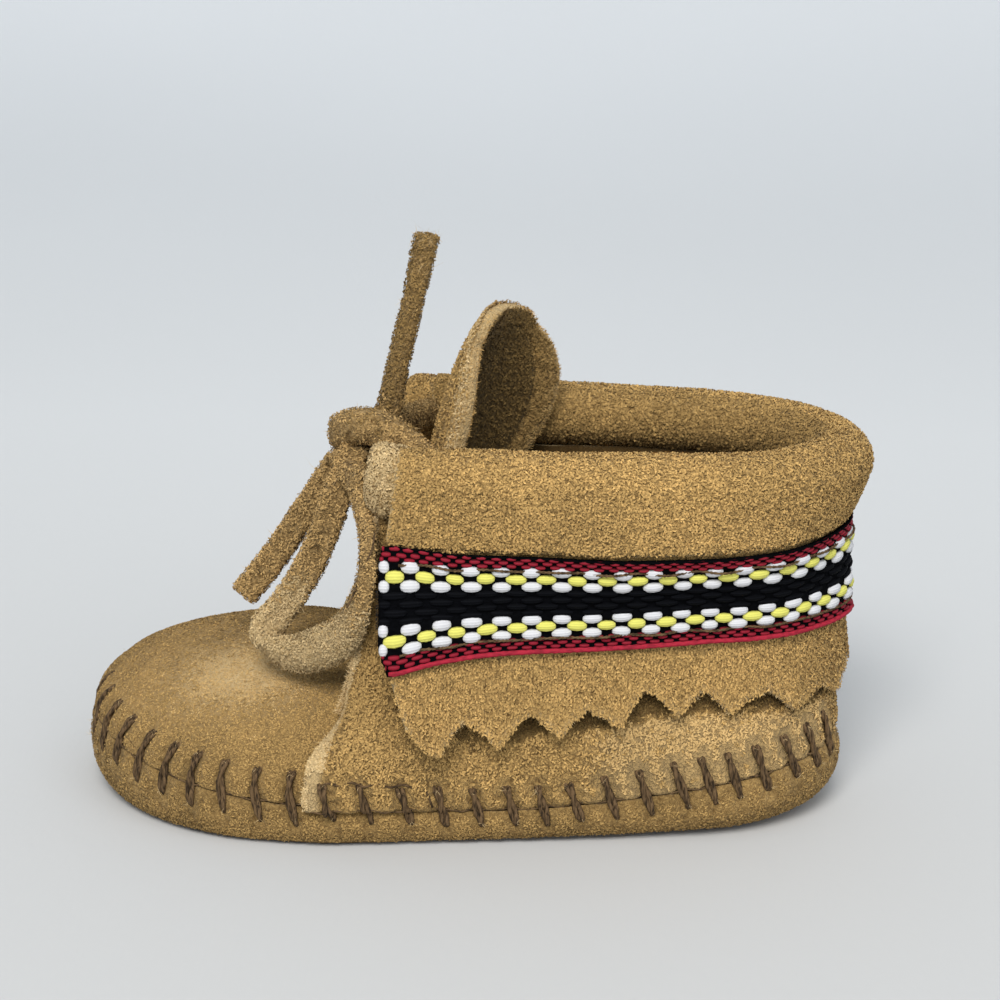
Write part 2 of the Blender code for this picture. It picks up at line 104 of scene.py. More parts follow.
# The fringe's corners: the cuff's front edge, then tips and notches in turn, by length and height
FRINGE = np.array(
    [(0, 27.5), (0.4, 23.6), (2, 19.8), (3.8, 17.4), (6, 16.1), (9.4, 20.4), (14, 16.4), (18, 20.8)]
    + [(22.4, 17.5), (26, 20.9), (30.6, 18.2), (33.8, 23.3), (38.4, 19.5), (42.4, 22.5), (45.4, 19.5)]
    + [(51.2, 22), (54.8, 18.7), (60.6, 20.8), (63.6, 18.9), (68.4, 22.4)],
    float,
)
FIRST_TIP = 4
BRAID_WIDTH, BRAID_STRETCH, BRAID_AHEAD, BRAID_SLANT = 14.4, 1.23, 2.1, 1.5
CUFF = np.array(
    [
        # length hem  top  mid  low
        (0.0, 44.8, 3.0, 6.8, 9.4),
        (4.0, 44.4, 3.0, 5.5, 8.0),
        (8.0, 44.0, 3.0, 4.1, 6.9),
        (14.0, 43.9, 3.0, 2.8, 5.2),
        (20.0, 43.8, 3.0, 1.9, 4.2),
        (30.0, 43.4, 3.0, 0.2, 2.7),
        (43.0, 43.4, 2.8, -0.9, 2.0),
        (52.0, 43.6, 2.4, -0.6, 1.9),
        (60.0, 43.8, 1.6, 0.2, 2.2),
        (68.0, 44.0, 1.1, 1.6, 2.9),
    ]
)
CUFF_COLUMNS = "length hem top mid low".split()

# The tongue, row by row from the throat to the tip: its middle line, half its width along the leather, the
# radius that it is cupped to, and how far it twists
TONGUE = np.array(
    [
        # s     z     arc   cup   twist
        (71.8, 20.4, 11.0, 20.0, 0.00),
        (68.0, 22.3, 11.8, 20.0, 0.00),
        (64.0, 28.8, 12.8, 19.0, 0.05),
        (60.8, 38.0, 13.8, 17.0, 0.15),
        (58.2, 47.6, 15.0, 14.6, 0.28),
        (56.2, 56.0, 15.8, 12.8, 0.38),
        (53.9, 63.0, 14.4, 12.0, 0.42),
        (51.7, 68.2, 10.6, 12.0, 0.42),
        (49.9, 71.0, 5.2, 12.0, 0.42),
    ]
)
TONGUE_ROUNDS, TONGUE_TIP = 7.45, 8.3

# The thong's routes, close to those of the part
KNOT_BAND = [
    (58.4, 11.4, 51.8),
    (62.0, 9.4, 54.4),
    (65.6, 8.2, 56.3),
    (68.6, 7.6, 56.4),
    (70.8, 5.8, 55.4),
    (71.4, 2.8, 53.8),
    (70.2, 0.2, 52.8),
    (67.6, -0.2, 53.8),
    (66.0, 2.0, 55.0),
]
BAR_ROUTE = [(61.2, 15.3, 52.5), (64.4, 9.5, 53.6), (65.8, 3.0, 54.0), (64.4, -4.0, 53.8), (61.2, -15.1, 52.5)]
KNOT_CENTRE, KNOT_RADII = (69.6, 3.6, 53.2), (3.2, 3.2, 3.6)
# Each route holds a loop, the thong's way through the knot, and its end
ROUTE_STEP = 0.5
OUTER_ROUTE = (
    [(69.2, 7.0, 53.0), (70.6, 9.4, 49.6), (72.3, 11.2, 44.2), (75.0, 12.6, 37.6), (78.6, 13.2, 31.8)]
    + [(81.1, 13.9, 28.5), (80.2, 15.8, 26.3), (76.8, 17.6, 25.8), (72.8, 19.6, 27.6), (69.0, 21.9, 30.9)]
    + [(66.7, 23.6, 35.2), (65.1, 24.2, 40.6), (65.4, 20.8, 45.2), (67.2, 15.4, 48.6), (69.2, 10.0, 50.6)]
    + [(71.4, 5.6, 50.6)]
    + [(72.6, 3.6, 49.4), (76.2, 4.2, 44.0), (81.0, 4.4, 36.6), (86.0, 4.2, 30.2)]
)
INNER_ROUTE = (
    [(70.4, -0.8, 52.6), (70.8, -6.4, 50.4), (71.6, -14.0, 43.6), (71.9, -20.0, 35.8), (71.9, -23.4, 29.9)]
    + [(70.7, -24.8, 26.4), (67.6, -25.4, 24.8), (64.4, -25.6, 26.4), (63.3, -25.6, 30.2), (64.2, -24.6, 35.8)]
    + [(66.0, -22.0, 40.4), (67.4, -16.8, 44.2), (68.9, -6.4, 47.6)]
    + [(69.4, 0.4, 50.6), (68.6, 2.4, 53.6)]
    + [(65.2, 2.7, 57.2), (63.6, 2.4, 64.0), (61.4, 2.2, 73.0), (59.4, 2.0, 82.0)]
)

# How each thong lies: at a point of its route, the direction across it and its share of the full width
OUTER_LAY = [
    (0, (0.9, 0.1, 0.45), 0.84),
    (4, (0.86, 0.1, 0.5), 0.88),
    (6, (0.75, 0.0, 0.65), 1.1),
    (8, (0.45, -0.1, 0.9), 1.25),
    (10, (0.2, -0.8, 0.6), 1.1),
    (11, (0.0, -1.0, 0.1), 0.95),
    (13, (0.1, -1.0, 0.1), 0.9),
    (14, (0.6, -0.7, 0.2), 0.9),
    (16, (0.85, -0.2, 0.45), 0.74),
    (19, (0.85, -0.1, 0.5), 0.84),
]
INNER_LAY = [
    (0, (0.1, 1.0, 0.1), 1.0),
    (12, (0.1, 1.0, 0.1), 1.0),
    (13, (0.4, 0.8, 0.1), 0.95),
    (14, (0.9, 0.3, 0.2), 0.78),
    (16, (0.9, 0.35, 0.2), 0.62),
    (17, (0.85, 0.5, 0.2), 0.56),
    (18, (0.85, 0.4, 0.2), 0.7),
]
PLAIN_LAY = [(0, (0.0, 0.1, 1.0), 1.0)]

# Stitches round the sole, by row of the last: how far up and down from the seam, and how far the stitch's top
# and its foot lie towards the heel
STITCH_ROWS = np.array(
    [
        # row  up   down  top   foot
        (0.0, 6.2, 4.3, 0.0, -0.3),
        (2.0, 5.2, 3.3, 0.0, -0.9),
        (2.6, 5.3, 3.1, -0.5, -0.6),
        (3.2, 5.2, 3.0, -1.6, -0.4),
        (3.6, 5.0, 2.9, -2.1, -0.2),
        (4.0, 4.9, 2.9, -2.1, -0.1),
        (4.9, 4.6, 2.9, -1.3, 0.2),
        (6.0, 4.1, 3.0, -1.6, 0.1),
        (7.7, 3.5, 2.6, -1.4, -0.2),
        (8.5, 3.6, 2.8, -2.2, -0.1),
        (9.0, 4.2, 2.8, -2.0, 0.5),
        (9.5, 4.6, 2.7, -1.7, 0.6),
        (10.0, 4.8, 2.6, -2.0, 0.0),
        (10.4, 5.0, 2.6, -1.5, 1.0),
        (11.0, 5.2, 2.5, -1.2, 1.3),
        (12.0, 5.3, 2.4, -0.9, 0.8),
    ]
)
# The steps from stitch to stitch, by length round the rim from the toe
FIRST_STITCH = 4.4
STITCH_SPACING = (
    (0, 45, 55, 60, 66, 72, 98, 103, 108, 114),
    (4.85, 5.0, 5.2, 5.6, 5.3, 4.6, 4.75, 4.0, 3.75, 4.4),
)
# The loose end of sewing thread that hangs from the collar's front
HANGING_END = (
    [(64.0, 24.8, 46.4), (64.4, 25.4, 44.0), (65.8, 25.6, 41.0)]
    + [(66.6, 25.9, 38.6), (67.8, 25.8, 36.0)]
)

# The vamp runs on under the quarter for part of a row. Its top has a soft dish, and slack on either side of it:
# each one's centre in plan, its reach, and its depth.
VAMP_UNDER = 0.75
VAMP_DISHES = (
    ((86.0, 11.0), (8.5, 5.5), 0.9),
    ((93.0, -6.0), (9.0, 7.0), 0.4),
    ((81.0, -14.0), (5.0, 5.0), -0.3),
)
# How far forward of its row the quarter's cut front edge lies, by height
FRONT_EDGE_SWING = ((6, 13, 16, 19, 24, 34), (0.0, 0.7, -0.3, -1.5, -0.9, 0.0))
# Length and width of the nap's longer tufts
LONG_NAP = (0.68, 0.2)
NO_COMB = (0, 0, 0)
SUEDE_SHEEN = (1.0, 0.86, 0.62)

# The stage: the sheet's tones from the back to the front, darker towards the front as painted shade, the sky's
# from below to above, and each soft light's place, size, share of the key light's power and colour
SHEET_TONES = (
    (0.0, (0.97, 0.985, 1.0)),
    (1.0, (0.44, 0.44, 0.435)),
    (0.6, (0.70, 0.71, 0.715)),
    (0.74, (0.57, 0.575, 0.575)),
)
SKY_TONES = ((0.35, (0.32, 0.33, 0.34)), (0.95, (0.62, 0.67, 0.72)), (0.55, (0.80, 0.86, 0.91)))
LIGHTS = (
    ("key", (0.04, 0.72, 0.78), 0.42, 1.0, (1.0, 0.975, 0.94)),
    ("front", (-0.55, 0.7, 0.5), 0.7, 0.18, (0.97, 0.98, 1.0)),
)
LIGHTS_AIM = (0, 0, 0.03)
CAMERA_LENS, CAMERA_SENSOR = 83.16, 36
CAMERA_AIM = (-0.00445, 0, 0.0438)


# ---------------------------------------------------------------- the last and its surfaces


def unit(vectors):
    """The vectors, brought to a length of one."""
    return vectors / np.maximum(np.linalg.norm(vectors, axis=-1, keepdims=True), 1e-12)


def run_along(points, axis=0):
    """How far each point of a line, or of a grid along one of its axes, lies from the first."""
    steps = np.cumsum(np.linalg.norm(np.diff(points, axis=axis), axis=-1), axis=axis)
    return np.insert(steps, 0, 0.0, axis=axis)


def turned_outward(normals, points, middle, columns=None):
    """The normals, turned round if those of the first columns point towards middle."""
    if ((points[:, :columns] - middle) * normals[:, :columns]).sum() < 0:
        return -normals
    return normals


def smooth(rows, at, even_start=False, even_end=False):
    """A smooth curve through equally spaced rows, read at every value of at. An even end is level."""
    rows, at = np.asarray(rows, float), np.asarray(at, float)
    before = rows[1] if even_start else 2 * rows[0] - rows[1]
    after = rows[-2] if even_end else 2 * rows[-1] - rows[-2]
    rows = np.concatenate([[before], rows, [after]])
    i = np.clip(np.floor(at).astype(int), 0, len(rows) - 4)
    t = at - i
    if rows.ndim > 1:
        t = t[..., None]
    a, b, c, d = (rows[i + k] for k in range(4))
    return b + 0.5 * t * (c - a + t * (2 * a - 5 * b + 4 * c - d + t * (3 * (b - c) + d - a)))


def last(name, u):
    """One column of LAST at rows u. What belongs to the top edge breaks at the edge's two corners."""
    column = LAST[:, LAST_COLUMNS.index(name)]
    breaks = (0, HEEL_ROW) if name in SOLE_COLUMNS else (0, QUARTER_ROW, COLLAR_ROW, HEEL_ROW)
    even = not name.endswith("_y")
    found = np.zeros(np.shape(u))
    for first, final in zip(breaks, breaks[1:]):
        at = np.clip(u, first, final) - first
        run = smooth(column[first : final + 1], at, even and first == 0, even and final == HEEL_ROW)
        found = np.where((u > first) | (first == 0), run, found)
    return found


def cuff_value(name, length):
    return np.interp(length, CUFF[:, 0], CUFF[:, CUFF_COLUMNS.index(name)])


def foot_line(u):
    return np.stack([last("foot_s", u), last("foot_y", u)], -1)


def collar_line(u):
    return np.stack([last("edge_s", u), last("edge_y", u)], -1)


def outward(line, u):
    """Unit normals in plan of a line round the last, pointing out of the shoe."""
    step, mirror = 0.02, np.array([1.0, -1.0])
    ahead, behind = line(np.maximum(u - step, 0)), line(np.minimum(u + step, HEEL_ROW))
    ahead = np.where((u - step < 0)[..., None], behind * mirror, ahead)
    behind = np.where((u + step > HEEL_ROW)[..., None], ahead * mirror, behind)
    along = ahead - behind
    normal = np.stack([-along[..., 1], along[..., 0]], -1)
    turned = (normal * (line(u) - np.array([INSIDE_S, 0.0]))).sum(-1) < 0
    return unit(np.where(turned[..., None], -normal, normal))


def bezier(a, b, c, d, t):
    k, t = 1 - t[..., None], t[..., None]
    return k**3 * a + 3 * k * k * t * b + 3 * k * t * t * c + t**3 * d


def joined(plan, height):
    return np.concatenate([plan, np.asarray(height)[..., None]], -1)


def wall(u, v):
    """The upper's outer skin: row u round the last, v from the seam up to the edge."""
    u, v = np.broadcast_arrays(np.asarray(u, float), np.asarray(v, float))
    foot, out, edge = foot_line(u), outward(foot_line, u), collar_line(u)
    seam, edge_z = last("seam_z", u) + SEAM_GAP, last("edge_z", u)
    low = foot + last("lean", u)[..., None] * out
    high = edge + last("reach", u)[..., None] * (foot - edge) + last("tuck", u)[..., None] * out
    return bezier(
        joined(foot, seam),
        joined(low, seam + last("rise", u)),
        joined(high, edge_z - last("drop", u)),
        joined(edge, edge_z),
        v,
    )


def wall_normal(u, v):
    u, v = np.broadcast_arrays(np.asarray(u, float), np.asarray(v, float))
    step = 0.01
    along = wall(np.minimum(u + step, HEEL_ROW), v) - wall(np.maximum(u - step, 0), v)
    up = wall(u, np.minimum(v + step, 1)) - wall(u, np.maximum(v - step, 0))
    end = (u - step < 0) | (u + step > HEEL_ROW)
    along = np.where(end[..., None], along * np.array([0.0, 1.0, 0.0]), along)
    return unit(np.cross(along, up))


def quarter_stand(u):
    """How far the quarter stands out over the vamp beneath it."""
    share = np.clip(1 - (u - QUARTER_ROW) / (OVERLAP_ROW - QUARTER_ROW), 0, 1)
    return np.where(u < QUARTER_ROW, 0.0, QUARTER_PROUD * np.sqrt(share))


def sole_skin(u, w):
    """The sole's outer skin from the seam, w = 0, round the turned-up edge to its flat bottom, w = 1."""
    u, w = np.broadcast_arrays(np.asarray(u, float), np.asarray(w, float))
    foot, out = foot_line(u), outward(foot_line, u)
    seam, inset = last("seam_z", u), last("flat_in", u)[..., None]
    level = np.zeros_like(seam)
    return bezier(
        joined(foot, seam),
        joined(foot + (0.9 + 0.12 * seam)[..., None] * out, 0.42 * seam),
        joined(foot - 0.25 * inset * out, level),
        joined(foot - inset * out, level),
        w,
    )


def middle_s():
    """The s of the frame's middle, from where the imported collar's back stands."""
    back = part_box("collar_roll")[0].x / MM
    return LAST[HEEL_ROW, LAST_COLUMNS.index("edge_s")] - ROLL_RADIUS - back


MIDDLE_S = middle_s()


def swing(s, y):
    """The last's own left form: the toe turned in, and the inner side hollowed at the arch."""
    t = np.clip((s - SWING_START) / SWING_LENGTH, 0, 1)
    y = y - TOE_SWING * t * t * (3 - 2 * t)
    hollow = ARCH_DEPTH * np.minimum(1, -y / ARCH_FULL_Y) * np.exp(-(((s - ARCH_S) / ARCH_SPREAD) ** 2))
    return np.where(y < 0, y + hollow, y)


def placed(points):
    """Shoe points with signed y to the frame, in metres."""
    s, y, z = np.moveaxis(np.asarray(points, float), -1, 0)
    return np.stack([(s - MIDDLE_S) * MM, swing(s, y) * MM, z * MM], -1)


def placed_plain(points):
    s, y, z = np.moveaxis(np.asarray(points, float), -1, 0)
    return np.stack([(s - MIDDLE_S) * MM, y * MM, z * MM], -1)


def sided(points, side):
    """Points or directions worked out for the outer side, given the sign of their own side."""
    return points * np.stack(np.broadcast_arrays(1.0, side, 1.0), -1)


class Skin:
    """A surface laid out flat: points and normals by length and width, both in millimetres."""

    def __init__(self, points, lengths, widths):
        self.points, self.lengths, self.widths = points, lengths, widths
        normals = unit(np.cross(np.gradient(points, axis=0), np.gradient(points, axis=1)))
        self.normals = turned_outward(normals, points, points.reshape(-1, 3).mean(0))

    def at(self, length, width, lift=0.0):
        """Points, in metres, at a length and width, lifted off the surface by lift millimetres."""
        a = np.interp(length, self.lengths, np.arange(len(self.lengths)))
        b = np.interp(width, self.widths, np.arange(len(self.widths)))
        i = np.clip(a.astype(int), 0, len(self.lengths) - 2)
        j = np.clip(b.astype(int), 0, len(self.widths) - 2)
        p, q = (a - i)[..., None], (b - j)[..., None]
        found = []
        for field in (self.points, self.normals):
            low = field[i, j] * (1 - p) + field[i + 1, j] * p
            high = field[i, j + 1] * (1 - p) + field[i + 1, j + 1] * p
            found.append(low * (1 - q) + high * q)
        return found[0] + found[1] * np.asarray(lift)[..., None] * MM


# ---------------------------------------------------------------- meshes


def add_piece(name, mesh, finishes):
    for finish in finishes:
        mesh.materials.append(finish_of(finish))
    mesh.shade_smooth()
    piece = bpy.data.objects.new(name, mesh)
    bpy.context.scene.collection.objects.link(piece)
    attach(piece, "root")
    return piece


def mesh_of(work, name):
    """What a bmesh holds, as a mesh of its own."""
    mesh = bpy.data.meshes.new(name)
    work.to_mesh(mesh)
    work.free()
    return mesh


def mark(mesh, name, values):
    """One value for each vertex, which the finishes read."""
    layer = mesh.attributes.new(name, "FLOAT", "POINT")
    layer.data.foreach_set("value", values.astype(np.float32).ravel())


def merge(mesh, distance=1e-6, closed=True):
    """Joins points that meet, and in a closed mesh fills the holes and turns the faces outward."""
    work = bmesh.new()
    work.from_mesh(mesh)
    bmesh.ops.remove_doubles(work, verts=work.verts, dist=distance)
    if closed:
        bmesh.ops.holes_fill(work, edges=[e for e in work.edges if e.is_boundary], sides=0)
        bmesh.ops.recalc_face_normals(work, faces=work.faces)
    work.to_mesh(mesh)
    work.free()


def grid_mesh(name, points, marks=None, closed=False):
    """A grid laid onto points [rows, columns, 3], with its marks by name. closed joins up its ends."""
    rows, columns = points.shape[:2]
    work = bmesh.new()
    bmesh.ops.create_grid(work, x_segments=columns - 1, y_segments=rows - 1, size=1)
    mesh = mesh_of(work, name)
    mesh.vertices.foreach_set("co", points.astype(np.float32).ravel())
    for title, values in (marks or {}).items():
        mark(mesh, title, values)
    if closed:
        merge(mesh)
    mesh.update()
    return mesh


def faced(points, normals, *fields):
    """A grid and its fields, with their rows turned round if its faces would lie against normals."""
    facing = np.cross(np.gradient(points, axis=1), np.gradient(points, axis=0))
    order = -1 if (facing * normals).sum() < 0 else 1
    return [field[::order] for field in (points, *fields)]


def stamped(name, template, places):
    """Copies of a small template mesh, one for each entry of places, an array [copies, verts, 3]."""
    corners = [tuple(face.vertices) for face in template.polygons]
    count = len(template.vertices)
    mesh = bpy.data.meshes.new(name)
    faces = [tuple(i + k * count for i in face) for k in range(len(places)) for face in corners]
    mesh.from_pydata(places.reshape(-1, 3).tolist(), [], faces)
    return mesh


def template_points(template):
    found = np.empty(len(template.vertices) * 3, np.float32)
    template.vertices.foreach_get("co", found)
    return found.reshape(-1, 3).astype(float)


def fibre_field(points, size, seed):
    """Suede's short tufts, from -1 to 1, at points in metres. size is a tuft's width in millimetres."""
    shift = Vector((seed * 17.3, seed * 5.1, seed * 9.7))
    flat = points.reshape(-1, 3) / (size * MM)
    found = np.fromiter((noise.noise(Vector(p) + shift) for p in flat), float, len(flat))
    return found.reshape(points.shape[:-1])


def napped(points, normals, depth, size, seed, closed=False):
    """Points pushed in and out along their normals as suede's nap, and the nap's height from 0 to 1. Where the
    columns close on themselves, the last one is the first again."""
    tufts = fibre_field(points, size, seed) + 0.45 * fibre_field(points, size * 0.45, seed + 3)
    lift = np.clip(tufts, -0.9, 0.9)
    points, height = points + normals * (lift * depth * MM)[..., None], np.clip(0.5 + 0.55 * lift, 0, 1)
    if closed:
        points[:, -1], height[:, -1] = points[:, 0], height[:, 0]
    return points, height


def grid_normals(points, wrap_columns=False):
    if wrap_columns:
        wide = np.concatenate([points[:, -2:-1], points, points[:, 1:2]], 1)
        across = np.gradient(wide, axis=1)[:, 1:-1]
    else:
        across = np.gradient(points, axis=1)
    return unit(np.cross(across, np.gradient(points, axis=0)))


def walled(piece, thickness, inner=1, rim=2):
    """Gives a sheet its thickness inwards, with its own finishes inside and along the cut edge."""
    skin = piece.modifiers.new("thickness", "SOLIDIFY")
    skin.thickness = thickness * MM
    skin.offset = -1
    skin.use_even_offset = False
    skin.use_quality_normals = True
    skin.material_offset = inner
    skin.material_offset_rim = rim
    return piece


# ---------------------------------------------------------------- finishes


def new_finish(name, roughness, specular, sheen=0.0, sheen_roughness=0.5, sheen_tint=(1, 1, 1)):
    finish = bpy.data.materials.new(name)
    finish.use_nodes = True
    shader = finish.node_tree.nodes["Principled BSDF"]
    shader.inputs["Roughness"].default_value = roughness
    shader.inputs["Specular IOR Level"].default_value = specular
    shader.inputs["Sheen Weight"].default_value = sheen
    shader.inputs["Sheen Roughness"].default_value = sheen_roughness
    shader.inputs["Sheen Tint"].default_value = (*sheen_tint, 1)
    return finish, finish.node_tree, shader


def node(tree, kind, inputs=None, **settings):
    made = tree.nodes.new("ShaderNode" + kind)
    for key, value in settings.items():
        setattr(made, key, value)
    for key, value in (inputs or {}).items():
        if isinstance(value, bpy.types.NodeSocket):
            tree.links.new(value, made.inputs[key])
        else:
            made.inputs[key].default_value = value
    return made


def maths(tree, operation, *values):
    """A sum on sockets and numbers."""
    return node(tree, "Math", dict(enumerate(values)), operation=operation).outputs[0]


def vector_maths(tree, operation, *values):
    return node(tree, "VectorMath", dict(enumerate(values)), operation=operation).outputs[0]


def own_place(tree, stretch):
    """The object's own metres, stretched along its axes."""
    place = node(tree, "TexCoord").outputs["Object"]
    return node(tree, "Mapping", {"Vector": place, "Scale": stretch}).outputs["Vector"]


def noise_node(tree, scale, detail, stretch=(1, 1, 1)):
    """Noise on the object's own metres, with a feature about 1 / scale across."""
    place = own_place(tree, stretch)
    return node(tree, "TexNoise", {"Vector": place, "Scale": scale, "Detail": detail}).outputs["Fac"]


def ramp(tree, factor, *stops):
    made = node(tree, "ValToRGB", {"Fac": factor})
    elements = made.color_ramp.elements
    for i, (place, colour) in enumerate(stops):
        element = elements[i] if i < 2 else elements.new(place)
        element.position, element.color = place, (*colour, 1)
    return made.outputs["Color"]


def mixed(tree, factor, a, b, blend="MIX"):
    made = node(tree, "Mix", data_type="RGBA", blend_type=blend)
    for index, value in ((0, factor), (6, a), (7, b)):
        if isinstance(value, bpy.types.NodeSocket):
            tree.links.new(value, made.inputs[index])
        else:
            made.inputs[index].default_value = value if index == 0 else (*value, 1)
    return made.outputs[2]


def mottled(tree, colour, noise_fac, darkest, palest):
    """The colour, darker and paler in patches. darkest and palest each hold the noise's level and a share."""
    stops = [(level, (share,) * 3) for level, share in (darkest, palest)]
    return mixed(tree, 1.0, colour, ramp(tree, noise_fac, *stops), "MULTIPLY")


def dressed(tree, shader, colour, height=None, strength=0.0, distance=0.0):
    """Gives the shader its colour, and a relief from a height."""
    tree.links.new(colour, shader.inputs["Base Color"])
    if height is not None:
        relief = node(tree, "Bump", {"Height": height, "Strength": strength, "Distance": distance})
        tree.links.new(relief.outputs["Normal"], shader.inputs["Normal"])


def attribute(tree, name):
    return node(tree, "Attribute", attribute_name=name).outputs["Fac"]


def scaled(colour, by):
    return tuple(channel * by for channel in colour)


def between(a, b, share):
    """The colour a given share of the way from a to b."""
    return tuple(p * (1 - share) + q * share for p, q in zip(a, b))


def suede(name, light, dark, grain, patches, edge=None, use_nap=True, bump=0.8, stretch=(1, 1, 1)):
    """Napped leather: curly pale tufts over darker gaps, whose darkness is painted shade, soft patches of paler
    and darker nap, and a paler cut edge. The edge attribute also paints highlight on some pieces, and under 0
    it paints shade. grain is a tuft's width in millimetres."""
    finish, tree, shader = new_finish(name, 0.95, 0.05, 0.12, 0.5, SUEDE_SHEEN)
    place = own_place(tree, stretch)
    curl = node(tree, "TexNoise", {"Vector": place, "Scale": 900 / grain, "Detail": 1.0}).outputs["Color"]
    curl = vector_maths(tree, "SUBTRACT", curl, (0.5, 0.5, 0.5))
    curl = vector_maths(tree, "MULTIPLY", curl, (grain * 2.2 * MM,) * 3)
    place = vector_maths(tree, "ADD", place, curl)
    tuft = node(tree, "TexVoronoi", {"Vector": place, "Scale": 1000 / grain}).outputs["Distance"]
    fine = node(tree, "TexNoise", {"Vector": place, "Scale": 2300 / grain, "Detail": 2.0}).outputs["Fac"]
    height = maths(tree, "MULTIPLY_ADD", tuft, -0.5, 0.45)
    height = maths(tree, "MULTIPLY_ADD", fine, 0.6, height)
    if use_nap:
        height = maths(tree, "MULTIPLY_ADD", attribute(tree, "nap"), 0.2, height)
        height = maths(tree, "ADD", height, -0.1)
    # Painted shade: where the nap is low, in the gaps between the tufts, the colour turns dark
    colour = ramp(tree, height, (0.24, dark), (0.76, scaled(light, 1.3)), (0.5, between(dark, light, 0.75)))
    colour = mottled(tree, colour, noise_node(tree, 75, 2.0), (0.3, 1 - patches), (0.7, 1 + patches * 0.5))
    colour = mottled(tree, colour, noise_node(tree, 420, 3.0), (0.34, 0.84), (0.66, 1.1))
    # The edge attribute: above 0 pale, for cut edges and as painted highlight; under 0 painted shade
    if edge is not None:
        recoloured = mixed(tree, 0.35, edge, colour)
        colour = mixed(tree, attribute(tree, "edge"), colour, recoloured)
        below = maths(tree, "MULTIPLY", attribute(tree, "edge"), -1.0)
        colour = mixed(tree, below, colour, scaled(dark, 0.75))
    dressed(tree, shader, colour, height, bump, 0.0009)
    return finish


def yarn(name, colour, roughness, ply, shade, sheen=0.2, stretch=(0.5, 1, 1.6), gloss=0.2):
    """A thread's fine plies, darker in the grooves."""
    finish, tree, shader = new_finish(name, roughness, gloss, sheen, 0.4)
    fine = noise_node(tree, ply, 2.0, stretch)
    dressed(tree, shader, ramp(tree, fine, (0.35, scaled(colour, shade)), (0.6, colour)), fine, 0.5, 0.00012)
    return finish


def stranded(name, colour, strands, shade, roughness=0.6, gloss=0.12):
    """A woven float of parallel strands, set by the piece's own strand attribute from 0 to 1."""
    finish, tree, shader = new_finish(name, roughness, gloss, 0.0, 0.4)
    wave = maths(tree, "COSINE", maths(tree, "MULTIPLY", attribute(tree, "strand"), strands * math.tau))
    height = maths(tree, "ADD", wave, noise_node(tree, 5000, 1.0))
    tint = ramp(tree, height, (0.0, colour), (1.0, scaled(colour, shade)), (0.75, scaled(colour, 0.93)))
    dressed(tree, shader, tint, maths(tree, "MULTIPLY", height, -1.0), 0.3, 0.00006)
    return finish


def tuft_finish(name, light, dark, crest=1.55):
    """The tufts themselves: each its own tone from shaded brown to pale, set by the piece's nap attribute."""
    finish, tree, shader = new_finish(name, 0.95, 0.05, 0.1, 0.5, SUEDE_SHEEN)
    stops = (0.0, between(dark, light, 0.25)), (1.0, scaled(light, crest)), (0.5, light)
    tone = ramp(tree, attribute(tree, "nap"), *stops)
    dressed(tree, shader, mottled(tree, tone, noise_node(tree, 75, 2.0), (0.3, 0.88), (0.7, 1.06)))
    return finish


FINISHES = {}


